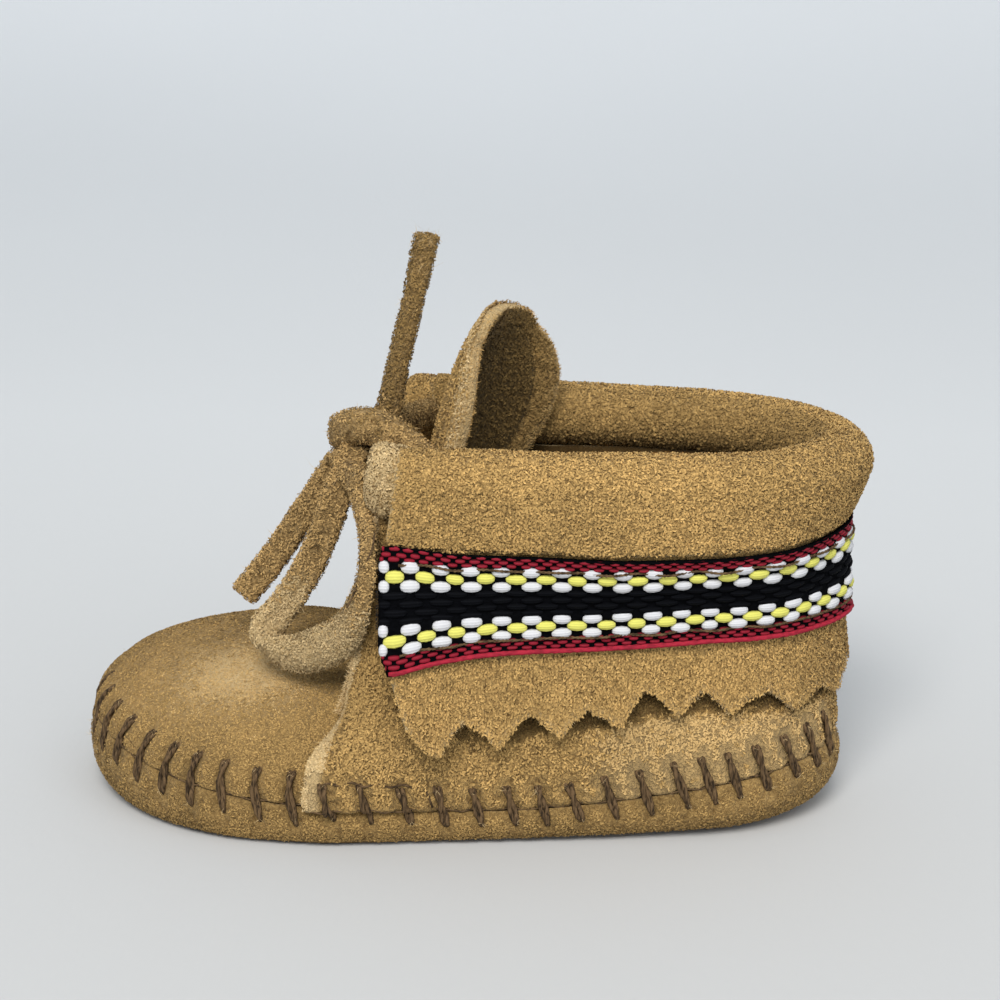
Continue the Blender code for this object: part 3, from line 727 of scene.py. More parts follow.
def recipes():
    """Every finish by name: how it is made, and with what, in the colours of the panel."""
    colours = bpy.context.scene.moccasin_colours
    light, dark, edge = tuple(colours.suede), tuple(colours.suede_gaps), tuple(colours.cut_edge)
    thong, thread = tuple(colours.thong), tuple(colours.stitch_thread)
    red, black = tuple(colours.braid_red), tuple(colours.braid_black)
    suedes = {
        # light, dark, grain, patches, edge, uses the nap, bump, stretch
        # The vamp's edge colour also paints its highlight
        "vamp_suede": (scaled(light, 0.66), scaled(dark, 1.4), 0.42, 0.24, scaled(edge, 1.35), True, 0.7),
        "quarter_suede": (scaled(light, 0.78), dark, 0.55, 0.22, edge, True, 0.9, (1, 1, 0.75)),
        "sole_suede": (scaled(light, 0.62), scaled(dark, 1.1), 0.5, 0.2, edge, True, 0.7),
        "collar_suede": (light, dark, 0.62, 0.12, edge, True, 0.95),
        "cuff_suede": (light, dark, 0.62, 0.14, edge, True, 0.9, (1, 1, 0.62)),
        "tongue_suede": (scaled(light, 0.9), dark, 0.7, 0.25, edge, True, 0.9),
        # Painted shade: the lining inside the shoe and the tongue is a much darker copy of the suede
        "lining_suede": (scaled(light, 0.24), scaled(dark, 0.4), 0.7, 0.25, scaled(light, 0.8), True, 0.6),
        "insole_suede": (scaled(light, 0.4), scaled(dark, 0.6), 0.6, 0.3, None, False),
        "thong_suede": (thong, scaled(dark, 0.9), 0.66, 0.25, edge, True, 0.95),
        "cut_edge": (edge, scaled(light, 0.4), 0.4, 0.25, None, False),
    }
    tufts_of = {
        # light, dark, crest
        "tuft_suede": (scaled(light, 0.86), dark),
        "vamp_tuft": (scaled(light, 0.7), scaled(light, 0.32)),
        # Painted highlight: paler tufts for the lit patches of the vamp and the quarters
        "brushed_tuft": (between(light, edge, 0.28), scaled(light, 0.8), 1.15),
        "sole_tuft": (scaled(light, 0.66), dark),
        "quarter_tuft": (scaled(light, 0.8), dark),
        "shaded_tuft": (scaled(light, 0.62), scaled(dark, 0.8)),
        # Painted shade: darker tufts for the tongue's far band and the thong's upright end
        "band_tuft": (scaled(light, 0.46), scaled(dark, 0.7)),
        # Painted shade: dark tufts for the tongue's lining and for the quarters between the cuff's teeth
        "lining_tuft": (scaled(light, 0.3), scaled(dark, 0.5)),
        "loop_tuft": (scaled(edge, 0.7), scaled(light, 0.7)),
        "thong_tuft": (thong, dark),
        "pale_tuft": (scaled(edge, 0.83), light),
    }
    yarns = {
        # colour, roughness, plies to a metre, shade, sheen, stretch, gloss
        "fibre": (scaled(light, 1.1), 0.9, 900, 0.6, 0.1),
        "pale_fibre": (scaled(edge, 1.05), 0.9, 900, 0.8, 0.1),
        "brown_thread": (thread, 0.9, 1900, 0.22, 0.0),
        "stitch_thread": (thread, 0.9, 2600, 0.16, 0.0, (1.3, 1.3, 0.22)),
        "dark_fray": (scaled(black, 1.5), 0.8, 1500, 0.8),
        "red_selvage": (scaled(red, 1.55), 0.8, 1800, 0.6, 0.0),
        "black_ground": (scaled(black, 0.9), 0.95, 1900, 0.5, 0.0, (0.5, 1, 1.6), 0.04),
    }
    floats = {
        # colour, strands, shade, roughness, gloss
        "white_yarn": (tuple(colours.braid_white), 4, 0.9),
        "yellow_yarn": (tuple(colours.braid_yellow), 4, 0.86),
        "red_yarn": (red, 1, 0.45),
        "black_yarn": (black, 3, 1.8, 0.75, 0.04),
    }
    families = ((suede, suedes), (tuft_finish, tufts_of), (yarn, yarns), (stranded, floats))
    return {name: (maker, values) for maker, family in families for name, values in family.items()}


def finish_of(name):
    """A finish by name, made once."""
    if name not in FINISHES:
        maker, values = recipes()[name]
        FINISHES[name] = maker(name, *values)
    return FINISHES[name]


# ---------------------------------------------------------------- shared shapes


def leather(name, points, normals, finishes, nap, seed, edge, thickness):
    """A napped suede sheet with its face along normals, in the finishes of its face and back. nap is the nap's
    depth and size. edge, from 0 to 1, is where it turns pale, at its cut edges and, on the vamp and quarters,
    as painted highlight, and under 0 where it is darkened as painted shade."""
    points, height = napped(points, normals, *nap, seed)
    points, height, edge = faced(points, normals, height, edge)
    mesh = grid_mesh(name, points, {"nap": height, "edge": edge})
    return walled(add_piece(name, mesh, [*finishes, "cut_edge"]), thickness)


def around(rows):
    """Rows of the last, and the sign of their side, from the outer front round the heel to the inner front."""
    rows = np.asarray(rows, float)
    return np.concatenate([rows, rows[-2::-1]]), np.concatenate([np.ones(len(rows)), -np.ones(len(rows) - 1)])


def even_rows(line, first, final, step):
    """Rows spaced evenly along a line of the last, about step millimetres apart."""
    rows = np.linspace(first, final, 801)
    run = run_along(line(rows))
    count = max(int(round(run[-1] / step)), 2)
    return np.interp(np.linspace(0, run[-1], count + 1), run, rows)


def collar_path(front_s, step):
    """The collar line from its outer front round the heel to the inner front, in equal steps: how far along,
    how far from the nearer front, the plan points, and the directions out of the shoe."""
    rows = np.linspace(COLLAR_ROW, HEEL_ROW, 801)
    plan = collar_line(rows)
    run = run_along(plan)
    start = np.interp(-front_s, -plan[:, 0], run)
    count = int(round((run[-1] - start) / step))
    length = np.linspace(start, run[-1], count + 1)
    u, side = around(np.interp(length, run, rows))
    mirror = np.stack([np.ones(len(side)), side], -1)
    plan, out = collar_line(u) * mirror, outward(collar_line, u) * mirror
    length = length - start
    near = np.concatenate([length, length[-2::-1]])
    travel = np.concatenate([length, 2 * length[-1] - length[-2::-1]])
    return travel, near, plan, out


def stood_on(plan, out, away, height):
    """Placed points at a distance out of a plan line and a height: arrays [columns, rows]."""
    away, height = np.broadcast_arrays(away, height)
    flat = plan[:, None] + out[:, None] * away[..., None]
    return placed(np.concatenate([flat, height[..., None]], -1))


def cuff_face(length, z):
    """How far out of the collar line the cuff's outer face stands at height z."""
    high, mid, low = (cuff_value(name, length) for name in ("top", "mid", "low"))
    top = cuff_value("hem", length) - HEM_GAP
    a = (z - CUFF_MID) * (z - CUFF_LOW) / ((top - CUFF_MID) * (top - CUFF_LOW))
    b = (z - top) * (z - CUFF_LOW) / ((CUFF_MID - top) * (CUFF_MID - CUFF_LOW))
    c = (z - top) * (z - CUFF_MID) / ((CUFF_LOW - top) * (CUFF_LOW - CUFF_MID))
    return high * a + mid * b + low * c


def fringe_height(length):
    """Height of the cuff's lower edge: hand-cut teeth with rounded notches between them."""
    at = np.arange(-1, length.max() + 1, 0.05)
    segment = np.clip(np.searchsorted(FRINGE[:, 0], at) - 1, 0, len(FRINGE) - 2)
    (first, low), (final, high) = FRINGE[segment].T, FRINGE[segment + 1].T
    share = np.clip((at - first) / (final - first), 0, 1)
    share = np.where(high < low, 1 - share, share)
    rounded = 0.5 * share + 0.5 * np.sin(share * math.pi / 2)
    rounded = np.where(final <= FRINGE[FIRST_TIP, 0], share, rounded)
    line = np.minimum(low, high) + np.abs(high - low) * rounded
    soft = np.exp(-((np.arange(-16, 17) * 0.05 / 0.32) ** 2))
    line = np.convolve(np.pad(line, 16, mode="edge"), soft / soft.sum(), mode="valid")
    return np.interp(length, at, line)


def rim_skin():
    """The seam's strip, from the quarter and vamp over the seam on to the sole, by length round the rim from
    the toe, outer side positive, and by distance above the seam. Also the last's rows and those lengths."""
    u, side = around(even_rows(foot_line, 0, HEEL_ROW, 1.0))
    v, w = np.linspace(0.75, 0, 70), np.linspace(0, 0.9, 40)
    up = wall(u[:, None], v) + quarter_stand(u)[:, None, None] * wall_normal(u[:, None], v)
    profile = np.concatenate([up, sole_skin(u[:, None], w)], 1)
    profile = placed(sided(profile, side[:, None]))
    widths = np.arange(-9, 16.01, 0.5)
    strip = np.empty((len(u), len(widths), 3))
    for column, points in enumerate(profile):
        run = run_along(points) / MM
        height = run[len(v) - 1] - run
        for axis in range(3):
            strip[column, :, axis] = np.interp(widths, height[::-1], points[::-1, axis])
    run = run_along(placed(sided(joined(foot_line(u), 0 * u), side))) / MM
    return Skin(strip, run, widths), u, run


def stitch_places(half):
    """Lengths round one side's rim from the toe to the heel, closer together round the heel."""
    draw = np.random.default_rng(11)
    places, at = [], FIRST_STITCH
    while at < half - 1.2:
        places.append(at + draw.uniform(-0.12, 0.12))
        at += np.interp(at, *STITCH_SPACING)
    return np.array(places)


RIM, RIM_ROWS, RIM_RUN = rim_skin()
RIM_HALF, HALF_RIM = RIM_RUN[-1] / 2, len(RIM_ROWS) // 2 + 1
STITCHES = stitch_places(RIM_HALF)


def rim_length(u):
    """Length round the rim from the toe to row u."""
    return np.interp(u, RIM_ROWS[:HALF_RIM], RIM_RUN[:HALF_RIM])


def stitch_form(u):
    """How far a stitch at row u reaches up and down, and its top and its foot lie towards the heel."""
    return [np.interp(u, STITCH_ROWS[:, 0], column) for column in STITCH_ROWS[:, 1:].T]


def stitch_pull(u, distance):
    """How far the leather is drawn in by the stitches, from 0 to 1, at row u and distance from the seam."""
    up, down, top, foot = stitch_form(u)
    share = np.clip((distance + down) / (up + down), 0, 1)
    run = rim_length(u) - foot * (1 - share) - top * share
    away = np.abs(run[..., None] - STITCHES).min(-1)
    reach = np.where(distance > 0, distance / (up + 0.8), -distance / (down + 0.8))
    return np.exp(-((away / 1.15) ** 2)) * np.clip(1.25 - reach**2, 0, 1)


def tube_mesh(name, route, radius, sides):
    """A closed tube along a route of points in metres, radius in metres, one for each point or one for all."""
    tangent = unit(np.gradient(route, axis=0))
    flat, held = np.empty_like(route), np.array([0.0, 0.0, 1.0])
    # Directions across the route, each turned as little from the one before as it can be
    for i, along in enumerate(tangent):
        held = held - along * (held @ along)
        if np.linalg.norm(held) < 1e-6:
            held = np.cross(along, (0.3, 1.0, 0.2))
        held = held / np.linalg.norm(held)
        flat[i] = held
    third = np.cross(tangent, flat)
    angle = np.linspace(0, math.tau, sides + 1)[None, :, None]
    ring = flat[:, None] * np.cos(angle) + third[:, None] * np.sin(angle)
    points = route[:, None] + ring * np.broadcast_to(radius, len(route))[:, None, None]
    return grid_mesh(name, points, closed=True)


def joined_mesh(name, meshes):
    """Several meshes as one."""
    work = bmesh.new()
    for mesh in meshes:
        work.from_mesh(mesh)
        bpy.data.meshes.remove(mesh)
    return mesh_of(work, name)


def hair_template():
    """One fibre, standing along z from its root, 1 long and 1 wide at its middle: a diamond folded across."""
    work = bmesh.new()
    bmesh.ops.create_grid(work, x_segments=1, y_segments=1, size=0.5)
    for vert in work.verts:
        vert.co = (0.5 * (vert.co.x - vert.co.y), 0, 0.5 + 0.5 * (vert.co.x + vert.co.y))
    bmesh.ops.connect_verts(work, verts=[vert for vert in work.verts if abs(vert.co.x) > 0.1])
    return mesh_of(work, "fibre")


def scattered(draw, roots, bound, count, reach):
    """Roots picked at random from the first ones up to bound, each slid towards the next where that is within
    reach millimetres: their numbers and the new roots."""
    chosen = draw.integers(0, bound, count)
    blend = draw.uniform(0, 1, (count, 1))
    root, beside = roots[chosen], roots[np.minimum(chosen + 1, len(roots) - 1)]
    near = np.linalg.norm(beside - root, axis=1, keepdims=True) < reach * MM
    return chosen, np.where(near, root * (1 - blend) + beside * blend, root)


def fuzz(name, roots, directions, length, width, count, seed, finish, slot, spread, droop=0.2, curl=0.35):
    """Loose fibres standing off a surface. roots and directions are matching arrays of points and normals."""
    draw = np.random.default_rng(seed)
    roots, directions = roots.reshape(-1, 3), directions.reshape(-1, 3)
    chosen, root = scattered(draw, roots, len(roots), count, 2)
    aim = unit(directions[chosen] + draw.normal(0, spread, (count, 3)) + np.array([0, 0, -droop]))
    bend = draw.normal(0, curl, (count, 3))
    bend -= aim * (bend * aim).sum(1, keepdims=True)
    wide = unit(np.cross(aim, draw.normal(0, 1, (count, 3))))
    size = length * draw.uniform(0.45, 1.25, (count, 1, 1)) * MM
    template = hair_template()
    x, _, z = template_points(template).T
    lean = aim[:, None] * z[None, :, None] + bend[:, None] * (z**2)[None, :, None]
    places = root[:, None] + lean * size + wide[:, None] * (x[None, :, None] * width * MM)
    return add_piece(name, stamped(name, template, places), [finish])


def tufts(
    name, roots, normals, length, width, count, seed, slot="suede", finish="tuft_suede", comb=NO_COMB, lift=0.26
):
    """The nap's short curled tufts, laid over a surface. roots and normals are matching arrays."""
    draw = np.random.default_rng(seed)
    roots, normals = roots.reshape(-1, 3), normals.reshape(-1, 3)
    chosen, root = scattered(draw, roots, len(roots) - 1, count, 1.5)
    normal = normals[chosen]
    scatter = draw.uniform(-0.38, 0.38, (count, 3)) * MM
    root = root + scatter - normal * (scatter * normal).sum(1, keepdims=True)
    along = draw.normal(0, 1, (count, 3)) + np.array(comb, float)
    along = unit(along - normal * (along * normal).sum(1, keepdims=True))
    side = np.cross(normal, along)
    wide = unit(side + normal * draw.normal(0, 0.45, (count, 1)))
    long = length * draw.uniform(0.6, 1.3, (count, 1, 1)) * MM
    high = lift * draw.uniform(0.5, 1.5, (count, 1, 1)) * MM
    turn = draw.normal(0, 0.55, (count, 1, 1))
    template = hair_template()
    x, _, z = template_points(template).T
    x, z = 1.3 * x[None, :, None], z[None, :, None]
    body = along[:, None] * (z - 0.5) + side[:, None] * turn * (z - 0.5) ** 2
    places = root[:, None] + body * long + normal[:, None] * np.sin(0.25 + 2.6 * z) * high
    places = places + wide[:, None] * x * width * MM
    mesh = stamped(name, template, places)
    tone = draw.normal(0.5, 0.2, (count, 1)) + 0.22 * (np.sin(math.pi * z[:, :, 0]) - 0.6)
    mark(mesh, "nap", np.clip(tone, 0, 1))
    return add_piece(name, mesh, [finish])


# ---------------------------------------------------------------- stage


def aimed(name, data, place, back):
    """A camera or light at a place, looking along the opposite of back."""
    made = bpy.data.objects.new(name, data)
    made.location = place
    made.rotation_euler = back.to_track_quat("Z", "Y").to_euler()
    bpy.context.scene.collection.objects.link(made)
    return made


def make_floor():
    """A pale sheet that runs under the shoe and sweeps up behind it, away from the camera."""
    across, along = 24, 48
    run = np.linspace(0, 1, along + 1)
    depth = np.interp(run, [0, 0.62, 0.8, 1], [1.6, -0.75, -1.12, -1.25])
    height = np.interp(run, [0, 0.62, 0.8, 1], [0, 0, 0.22, 1.6])
    for line in (depth, height) * 6:
        line[1:-1] = (line[:-2] + line[1:-1] + line[2:]) / 3
    side = np.linspace(-1.8, 1.8, across + 1)
    points = np.stack(np.broadcast_arrays(side, depth[:, None], height[:, None]), -1)
    mesh = grid_mesh("floor", points)
    finish, tree, shader = new_finish("pale_sheet", 0.85, 0.2)
    # Painted shade: the sheet's tone falls from the pale back to the darker front
    depth = node(tree, "SeparateXYZ", {0: node(tree, "TexCoord").outputs["Object"]}).outputs["Y"]
    depth = node(tree, "MapRange", {"Value": depth, "From Min": -1.1, "From Max": 0.4}).outputs[0]
    tone = mottled(tree, ramp(tree, depth, *SHEET_TONES), noise_node(tree, 3, 1.0), (0.3, 0.97), (0.7, 1.0))
    dressed(tree, shader, tone, noise_node(tree, 900, 1.0, (1, 0.4, 1)), 0.12, 0.0003)
    mesh.materials.append(finish)
    mesh.shade_smooth()
    floor = bpy.data.objects.new("floor", mesh)
    bpy.context.scene.collection.objects.link(floor)


def make_stage(context):
    sizes = context.scene.moccasin_sizes
    camera = bpy.data.cameras.new("camera")
    camera.lens, camera.sensor_width = CAMERA_LENS, CAMERA_SENSOR
    camera.clip_start, camera.clip_end = 0.01, 20
    azimuth, elevation = sizes.camera_azimuth, sizes.camera_elevation
    level = math.cos(elevation)
    back = Vector((math.sin(azimuth) * level, -math.cos(azimuth) * level, math.sin(elevation)))
    context.scene.camera = aimed("camera", camera, Vector(CAMERA_AIM) + back * sizes.camera_distance, back)
    make_floor()

    world = bpy.data.worlds.new("studio")
    context.scene.world = world
    world.use_nodes = True
    tree = world.node_tree
    sky = tree.nodes["Background"]
    way = node(tree, "SeparateXYZ", {0: node(tree, "TexCoord").outputs["Generated"]}).outputs["Z"]
    rise = node(tree, "MapRange", {"Value": way, "From Min": -1.0, "From Max": 1.0}).outputs[0]
    tree.links.new(ramp(tree, rise, *SKY_TONES), sky.inputs["Color"])
    sky.inputs["Strength"].default_value = sizes.fill_light
    for title, place, size, share, colour in LIGHTS:
        light = bpy.data.lights.new(title, "AREA")
        light.energy, light.size, light.color = sizes.key_light * share, size, colour
        aimed(title, light, place, Vector(place) - Vector(LIGHTS_AIM))
    context.scene.view_settings.view_transform = "Standard"


# ---------------------------------------------------------------- leather pieces


def make_sole(context):
    u, side = around(even_rows(foot_line, 0, HEEL_ROW, 0.75))
    w = np.linspace(0, 1, 24)
    turned = len(w)
    skin = sole_skin(u[:, None], w)
    skin[..., 2] = np.maximum(skin[..., 2], 0)
    below_seam = last("seam_z", u)[:, None] * -w * 1.25
    flat = skin[:, -1]
    spine = np.stack([np.clip(flat[:, 0], 18, 90), 0 * flat[:, 1], 0 * flat[:, 2]], -1)
    share = np.linspace(0, 1, 13)[1:]
    bottom = flat[:, None] + (spine - flat)[:, None] * share[None, :, None]
    points = placed(sided(np.concatenate([skin, bottom], 1), side[:, None]))
    normals = turned_outward(grid_normals(points), points, points.mean((0, 1)), 10)
    normals[:, turned - 1 :] = (0, 0, -1)
    pull = stitch_pull(u[:, None], below_seam)
    soft = np.concatenate([np.ones(turned), np.linspace(1, 0.25, len(share))])
    soft[turned - 3 :] *= 0.25
    lift = np.concatenate([-0.6 * pull, np.zeros((len(u), len(share)))], 1)
    points = points + normals * lift[..., None] * MM
    points, height = napped(points, normals * soft[None, :, None], 0.08, 0.34, 2)
    points[..., 2] = np.maximum(points[..., 2], 0)
    points[-1], height[-1] = points[0], height[0]
    # Painted shade: the nap darkens towards the floor, where the sole meets it
    height = height - 2.2 * np.exp(-((points[..., 2] / (0.8 * MM)) ** 2))
    shown = (pull < 0.3) & (below_seam < -0.5) & (points[:, :turned, 2] > 0.9 * MM)
    roots, ways = points[:, :turned][shown], normals[:, :turned][shown]
    tufts("sole_tufts", roots, ways, 0.55, 0.16, 20000, 86, "sole_suede", "sole_tuft", lift=0.16)
    points, height = faced(points, normals, height)
    mesh = grid_mesh("sole_turned_up", points, {"nap": height, "edge": 0 * height})
    merge(mesh, 2e-6, closed=False)
    piece = walled(add_piece("sole_turned_up", mesh, ["sole_suede", "lining_suede"]), 1.5, rim=0)
    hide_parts("sole")


def make_insole(context):
    """The insole's own shape again, joined up, with its hard edges rounded."""
    work = bmesh.new()
    work.from_mesh(bpy.data.objects["insole"].data)
    bmesh.ops.remove_doubles(work, verts=work.verts, dist=1e-6)
    bmesh.ops.dissolve_limit(work, angle_limit=math.radians(1), verts=work.verts, edges=work.edges)
    sharp = [e for e in work.edges if len(e.link_faces) == 2 and e.calc_face_angle() > math.radians(50)]
    bmesh.ops.bevel(work, geom=sharp, offset=0.5 * MM, affect="EDGES", segments=3, profile=0.5, material=-1)
    mesh = mesh_of(work, "insole_pad")
    mesh.materials.clear()
    piece = add_piece("insole_pad", mesh, ["insole_suede"])
    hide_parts("insole")


def drawn_in(points, normals, u):
    """The wall drawn in by the stitches along its foot, and how far up the wall its points lay before."""
    distance = run_along(points, axis=1)
    return points - normals * (0.72 * stitch_pull(u[:, None], distance + 0.2))[..., None], distance


def make_vamp(context):
    half = even_rows(foot_line, 0, QUARTER_ROW + VAMP_UNDER, 0.62)
    u = np.concatenate([half[::-1], half[1:]])
    side = np.concatenate([-np.ones(len(half)), np.ones(len(half) - 1)])
    v = np.linspace(0, 1, 84)
    points, normals = wall(u[:, None], v), wall_normal(u[:, None], v)
    points, normals = sided(points, side[:, None]), sided(normals, side[:, None])
    for centre, radii, depth in VAMP_DISHES:
        away = ((points[..., 0] - centre[0]) / radii[0]) ** 2 + ((points[..., 1] - centre[1]) / radii[1]) ** 2
        points = points - normals * (depth * np.exp(-away))[..., None]
    points, distance = drawn_in(points, normals, u)
    slack = fibre_field(points * MM, 11, 5)
    free = np.clip((QUARTER_ROW - u[:, None]) / 0.6, 0, 1)
    lift = 0.22 * slack * free * np.clip(distance / 8, 0, 1) - 0.3 * (1 - free)
    points = points + normals * lift[..., None]
    # Painted highlight: a pale patch on the vamp's top, carried by the edge attribute and by paler tufts
    edge = 0.9 * np.exp(-(((points[..., 0] - 84.0) / 10) ** 2 + ((points[..., 1] - 12.5) / 6) ** 2))
    pull = stitch_pull(u[:, None], distance)
    shown = (u < QUARTER_ROW - 0.05)[:, None] & (pull < 0.3) & (distance > 0.4)
    highlight_share = edge + np.random.default_rng(87).normal(0, 0.11, edge.shape)
    for title, finish, part in (
        ("vamp_tufts", "vamp_tuft", shown & (highlight_share < 0.4)),
        ("vamp_highlight_tufts", "brushed_tuft", shown & (highlight_share > 0.34)),
    ):
        count = int(30000 * part.sum() / shown.sum())
        roots, ways = placed(points[part]), normals[part]
        tufts(title, roots, ways, 0.46, 0.14, count, 85, finish=finish, comb=(-0.6, 0, 0), lift=0.13)
    piece = leather("vamp", placed(points), normals, ["vamp_suede", "lining_suede"], (0.05, 0.3), 4, edge, 1.4)
    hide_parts("upper")


def quarter_points(step, v):
    u, side = around(even_rows(foot_line, QUARTER_ROW + 1e-6, HEEL_ROW, step))
    normals = wall_normal(np.maximum(u, QUARTER_ROW + 0.05)[:, None], v)
    points = wall(u[:, None], v) + quarter_stand(u)[:, None, None] * normals
    from_front = rim_length(u) - rim_length(QUARTER_ROW)
    points[..., 0] += np.interp(points[..., 2], *FRONT_EDGE_SWING) * np.exp(-from_front / 5)[:, None]
    return u, sided(points, side[:, None]), sided(normals, side[:, None])


def make_quarters(context):
    u, points, normals = quarter_points(0.75, np.linspace(0, 1, 62))
    points, distance = drawn_in(points, normals, u)
    slack = fibre_field(points * MM, 9, 6)
    settled = np.clip((u[:, None] - QUARTER_ROW) / 0.8, 0, 1)
    # The wall falls in a little where the cuff hangs clear of it
    hidden = np.clip((points[..., 2] - 16.5) / 6, 0, 1) * np.clip((u[:, None] - 5.2) / 1.0, 0, 1)
    points = points - normals * (1.1 * hidden)[..., None]
    points = points + normals * (0.2 * slack * settled * np.clip(distance / 8, 0, 1))[..., None]
    front = run_along(points)
    front = np.minimum(front, front[-1:] - front)
    along_top = np.where((u < COLLAR_ROW)[:, None], distance[:, -1:] - distance, 99)
    from_cut = np.minimum(front, along_top)
    edge = np.clip(2.6 - from_cut / 0.9, 0, 1)
    placed_now = placed(points)
    pull = stitch_pull(u[:, None], distance)
    open_face = ((u < 7.4)[:, None] | (placed_now[..., 2] < 0.027)) & (pull < 0.08) & (distance > 0.6)
    # Painted shade darkens the nap between the cuff's teeth, where the cuff's shadow falls, and a painted
    # highlight lightens it under them toward the heel
    near, plan, *_ = cuff_arrays(0.5, 2)
    near = near[np.argmin(np.linalg.norm(points[:, 24, None, :2] - plan, axis=-1), axis=1)]
    under = points[..., 2] - np.interp(near, *FRINGE[FIRST_TIP::2].T)[:, None]
    shade = np.clip((under + 1.7) / 1.8, 0, 1) * np.interp(near, [4.5, 8, 11, 15], [0, 0.4, 0.5, 1])[:, None]
    highlight_share = 0.75 * np.interp(near, [24, 31, 62, 68], [0, 1, 1, 0])[:, None] * np.clip(-under / 1.5, 0, 1)
    draw = np.random.default_rng(89).uniform(0.12, 0.8, shade.shape)
    body, cut = open_face & (from_cut > 1.9), open_face & (from_cut < 2.3)
    for title, finish, part in (
        ("quarter_tufts", "quarter_tuft", body & (shade < draw) & (highlight_share < draw)),
        ("quarter_highlight_tufts", "brushed_tuft", body & (shade < draw) & (highlight_share >= draw)),
        ("quarter_shade_tufts", "lining_tuft", body & (shade >= draw)),
    ):
        count = int(32000 * part.sum() / body.sum())
        tufts(title, placed_now[part], normals[part], *LONG_NAP, count, 76, finish=finish, comb=(0.2, 0, -1.0))
    tufts("quarter_edge_tufts", placed_now[cut], normals[cut], 0.6, 0.17, 9000, 79, finish="pale_tuft")
    # The edge attribute carries the painted highlight upward and the painted shade under 0
    edge = edge + (0.5 * highlight_share - 0.8 * shade) * (edge < 0.05)
    finishes = ["quarter_suede", "lining_suede"]
    piece = leather("quarters", placed_now, normals, finishes, (0.13, 0.42), 7, edge, 1.35)
    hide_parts("upper")


def tongue_surface(b, a, lift):
    """Row b from throat to tip, a from -1 to 1 across, lift off the middle of the leather."""
    b, a = np.broadcast_arrays(np.asarray(b, float), np.asarray(a, float))
    s, z, arc, cup, twist = (smooth(column, b) for column in TONGUE.T)
    rounding = np.clip((b - TONGUE_ROUNDS) / 0.85, 0, 1)
    full = smooth(TONGUE[:, 2], np.full(b.shape, TONGUE_ROUNDS))
    arc = np.where(b > TONGUE_ROUNDS, full * np.sqrt(1 - rounding**2), arc)
    step = 0.05
    low, high = np.maximum(b - step, 0), np.minimum(b + step, len(TONGUE) - 1 + 0.4)
    run, climb = (smooth(column, high) - smooth(column, low) for column in TONGUE.T[:2])
    size = np.hypot(run, climb)
    near_side = np.where(a > 0, 1 - 0.13 * np.clip((b - 2) / 2, 0, 1), 1)
    angle, radius = a * near_side * arc / cup, cup + lift
    depth, y = cup - radius * np.cos(angle), radius * np.sin(angle)
    return np.stack([s - depth * climb / size + twist * y, y, z + depth * run / size], -1)


def make_tongue(context):
    b = np.concatenate([np.linspace(0, TONGUE_ROUNDS, 84), np.linspace(7.5, TONGUE_TIP, 18)])[:, None]
    a = np.linspace(-1, 1, 58)[None]
    front, middle, back = (tongue_surface(b, a, lift) for lift in (0.8, 0.0, -0.8))
    normals = unit(front - middle)
    front, front_nap = napped(placed_plain(front), normals, 0.13, 0.7, 12)
    # The lining is a second layer inside, set in from the edge
    from_side = (1 - np.abs(a)) * smooth(TONGUE[:, 2], np.minimum(b, TONGUE_ROUNDS))
    inset = np.minimum(from_side, (TONGUE_TIP - b) * 3.4)
    groove = np.exp(-(((inset - 3.0) / 0.28) ** 2))
    lining = 0.3 * np.clip((inset - 3.0) / 0.5, 0, 1)
    back = back - normals * (lining - 0.8 * groove)[..., None]
    back, back_nap = napped(placed_plain(back), normals, 0.1, 0.8, 13)
    # The cut rims bulge between the front and the back
    rims = []
    for edge, inner, far in (
        (front[:, -1], front[:, -2], back[:, -1]),
        (front[:, 0], front[:, 1], back[:, 0]),
    ):
        bulge = unit(edge - inner) * (0.22 * MM)
        rims.append(np.stack([edge * (1 - t) + far * t + bulge for t in (0.25, 0.5, 0.75)], 1))
    ring = np.concatenate([front, rims[0], back[:, ::-1], rims[1][:, ::-1], front[:, :1]], 1)
    edge_front = np.clip(1.7 - inset / 2.0, 0, 1)
    edge_back = 0.3 * np.clip(1 - inset / 1.4, 0, 1)
    rim = np.ones((len(b), 3))
    edge = np.concatenate([edge_front, 0.8 * rim, edge_back[:, ::-1], rim, edge_front[:, :1]], 1)
    nap = np.concatenate([front_nap, 0.6 * rim, back_nap[:, ::-1] * 0.8, 0.6 * rim, front_nap[:, :1]], 1)
    within = (inset > np.where(a > 0, 2.0, 3.0)).astype(float)
    bare = 0 * within
    lined = np.concatenate([bare, 0 * rim, within[:, ::-1], 0 * rim, bare[:, :1]], 1)
    mesh = grid_mesh("tongue_flap", ring, {"nap": nap, "edge": edge, "lined": lined}, closed=True)
    piece = add_piece("tongue_flap", mesh, ["tongue_suede", "lining_suede"])
    # Painted shade: the lined faces inside the tongue's cup take the much darker lining finish
    lined = mesh.attributes["lined"].data
    for face in mesh.polygons:
        face.material_index = int(all(lined[vert].value > 0.5 for vert in face.vertices))
    front_face, rim_band = (b > 2) & (a < 2), (inset < 2.6) & (b > 2) & (a > -0.2)
    far_band = (inset < 2.7) & (a < 0) & (b > 4)
    # Painted shade: the lining's tufts and those of the far band are darker copies
    for title, points, ways, part, size, count, seed, finish in (
        ("tongue_tufts", front, normals, front_face, LONG_NAP, 8000, 80, "quarter_tuft"),
        ("tongue_edge_tufts", front, normals, rim_band, (0.6, 0.16), 3000, 81, "pale_tuft"),
        ("tongue_lining_tufts", back, -normals, (within > 0.5) & (b > 4), LONG_NAP, 6000, 83, "lining_tuft"),
        ("tongue_band_tufts", back, -normals, far_band, LONG_NAP, 2200, 84, "band_tuft"),
    ):
        tufts(title, points[part], ways[part], *size, count, seed, finish=finish)
    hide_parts("tongue")


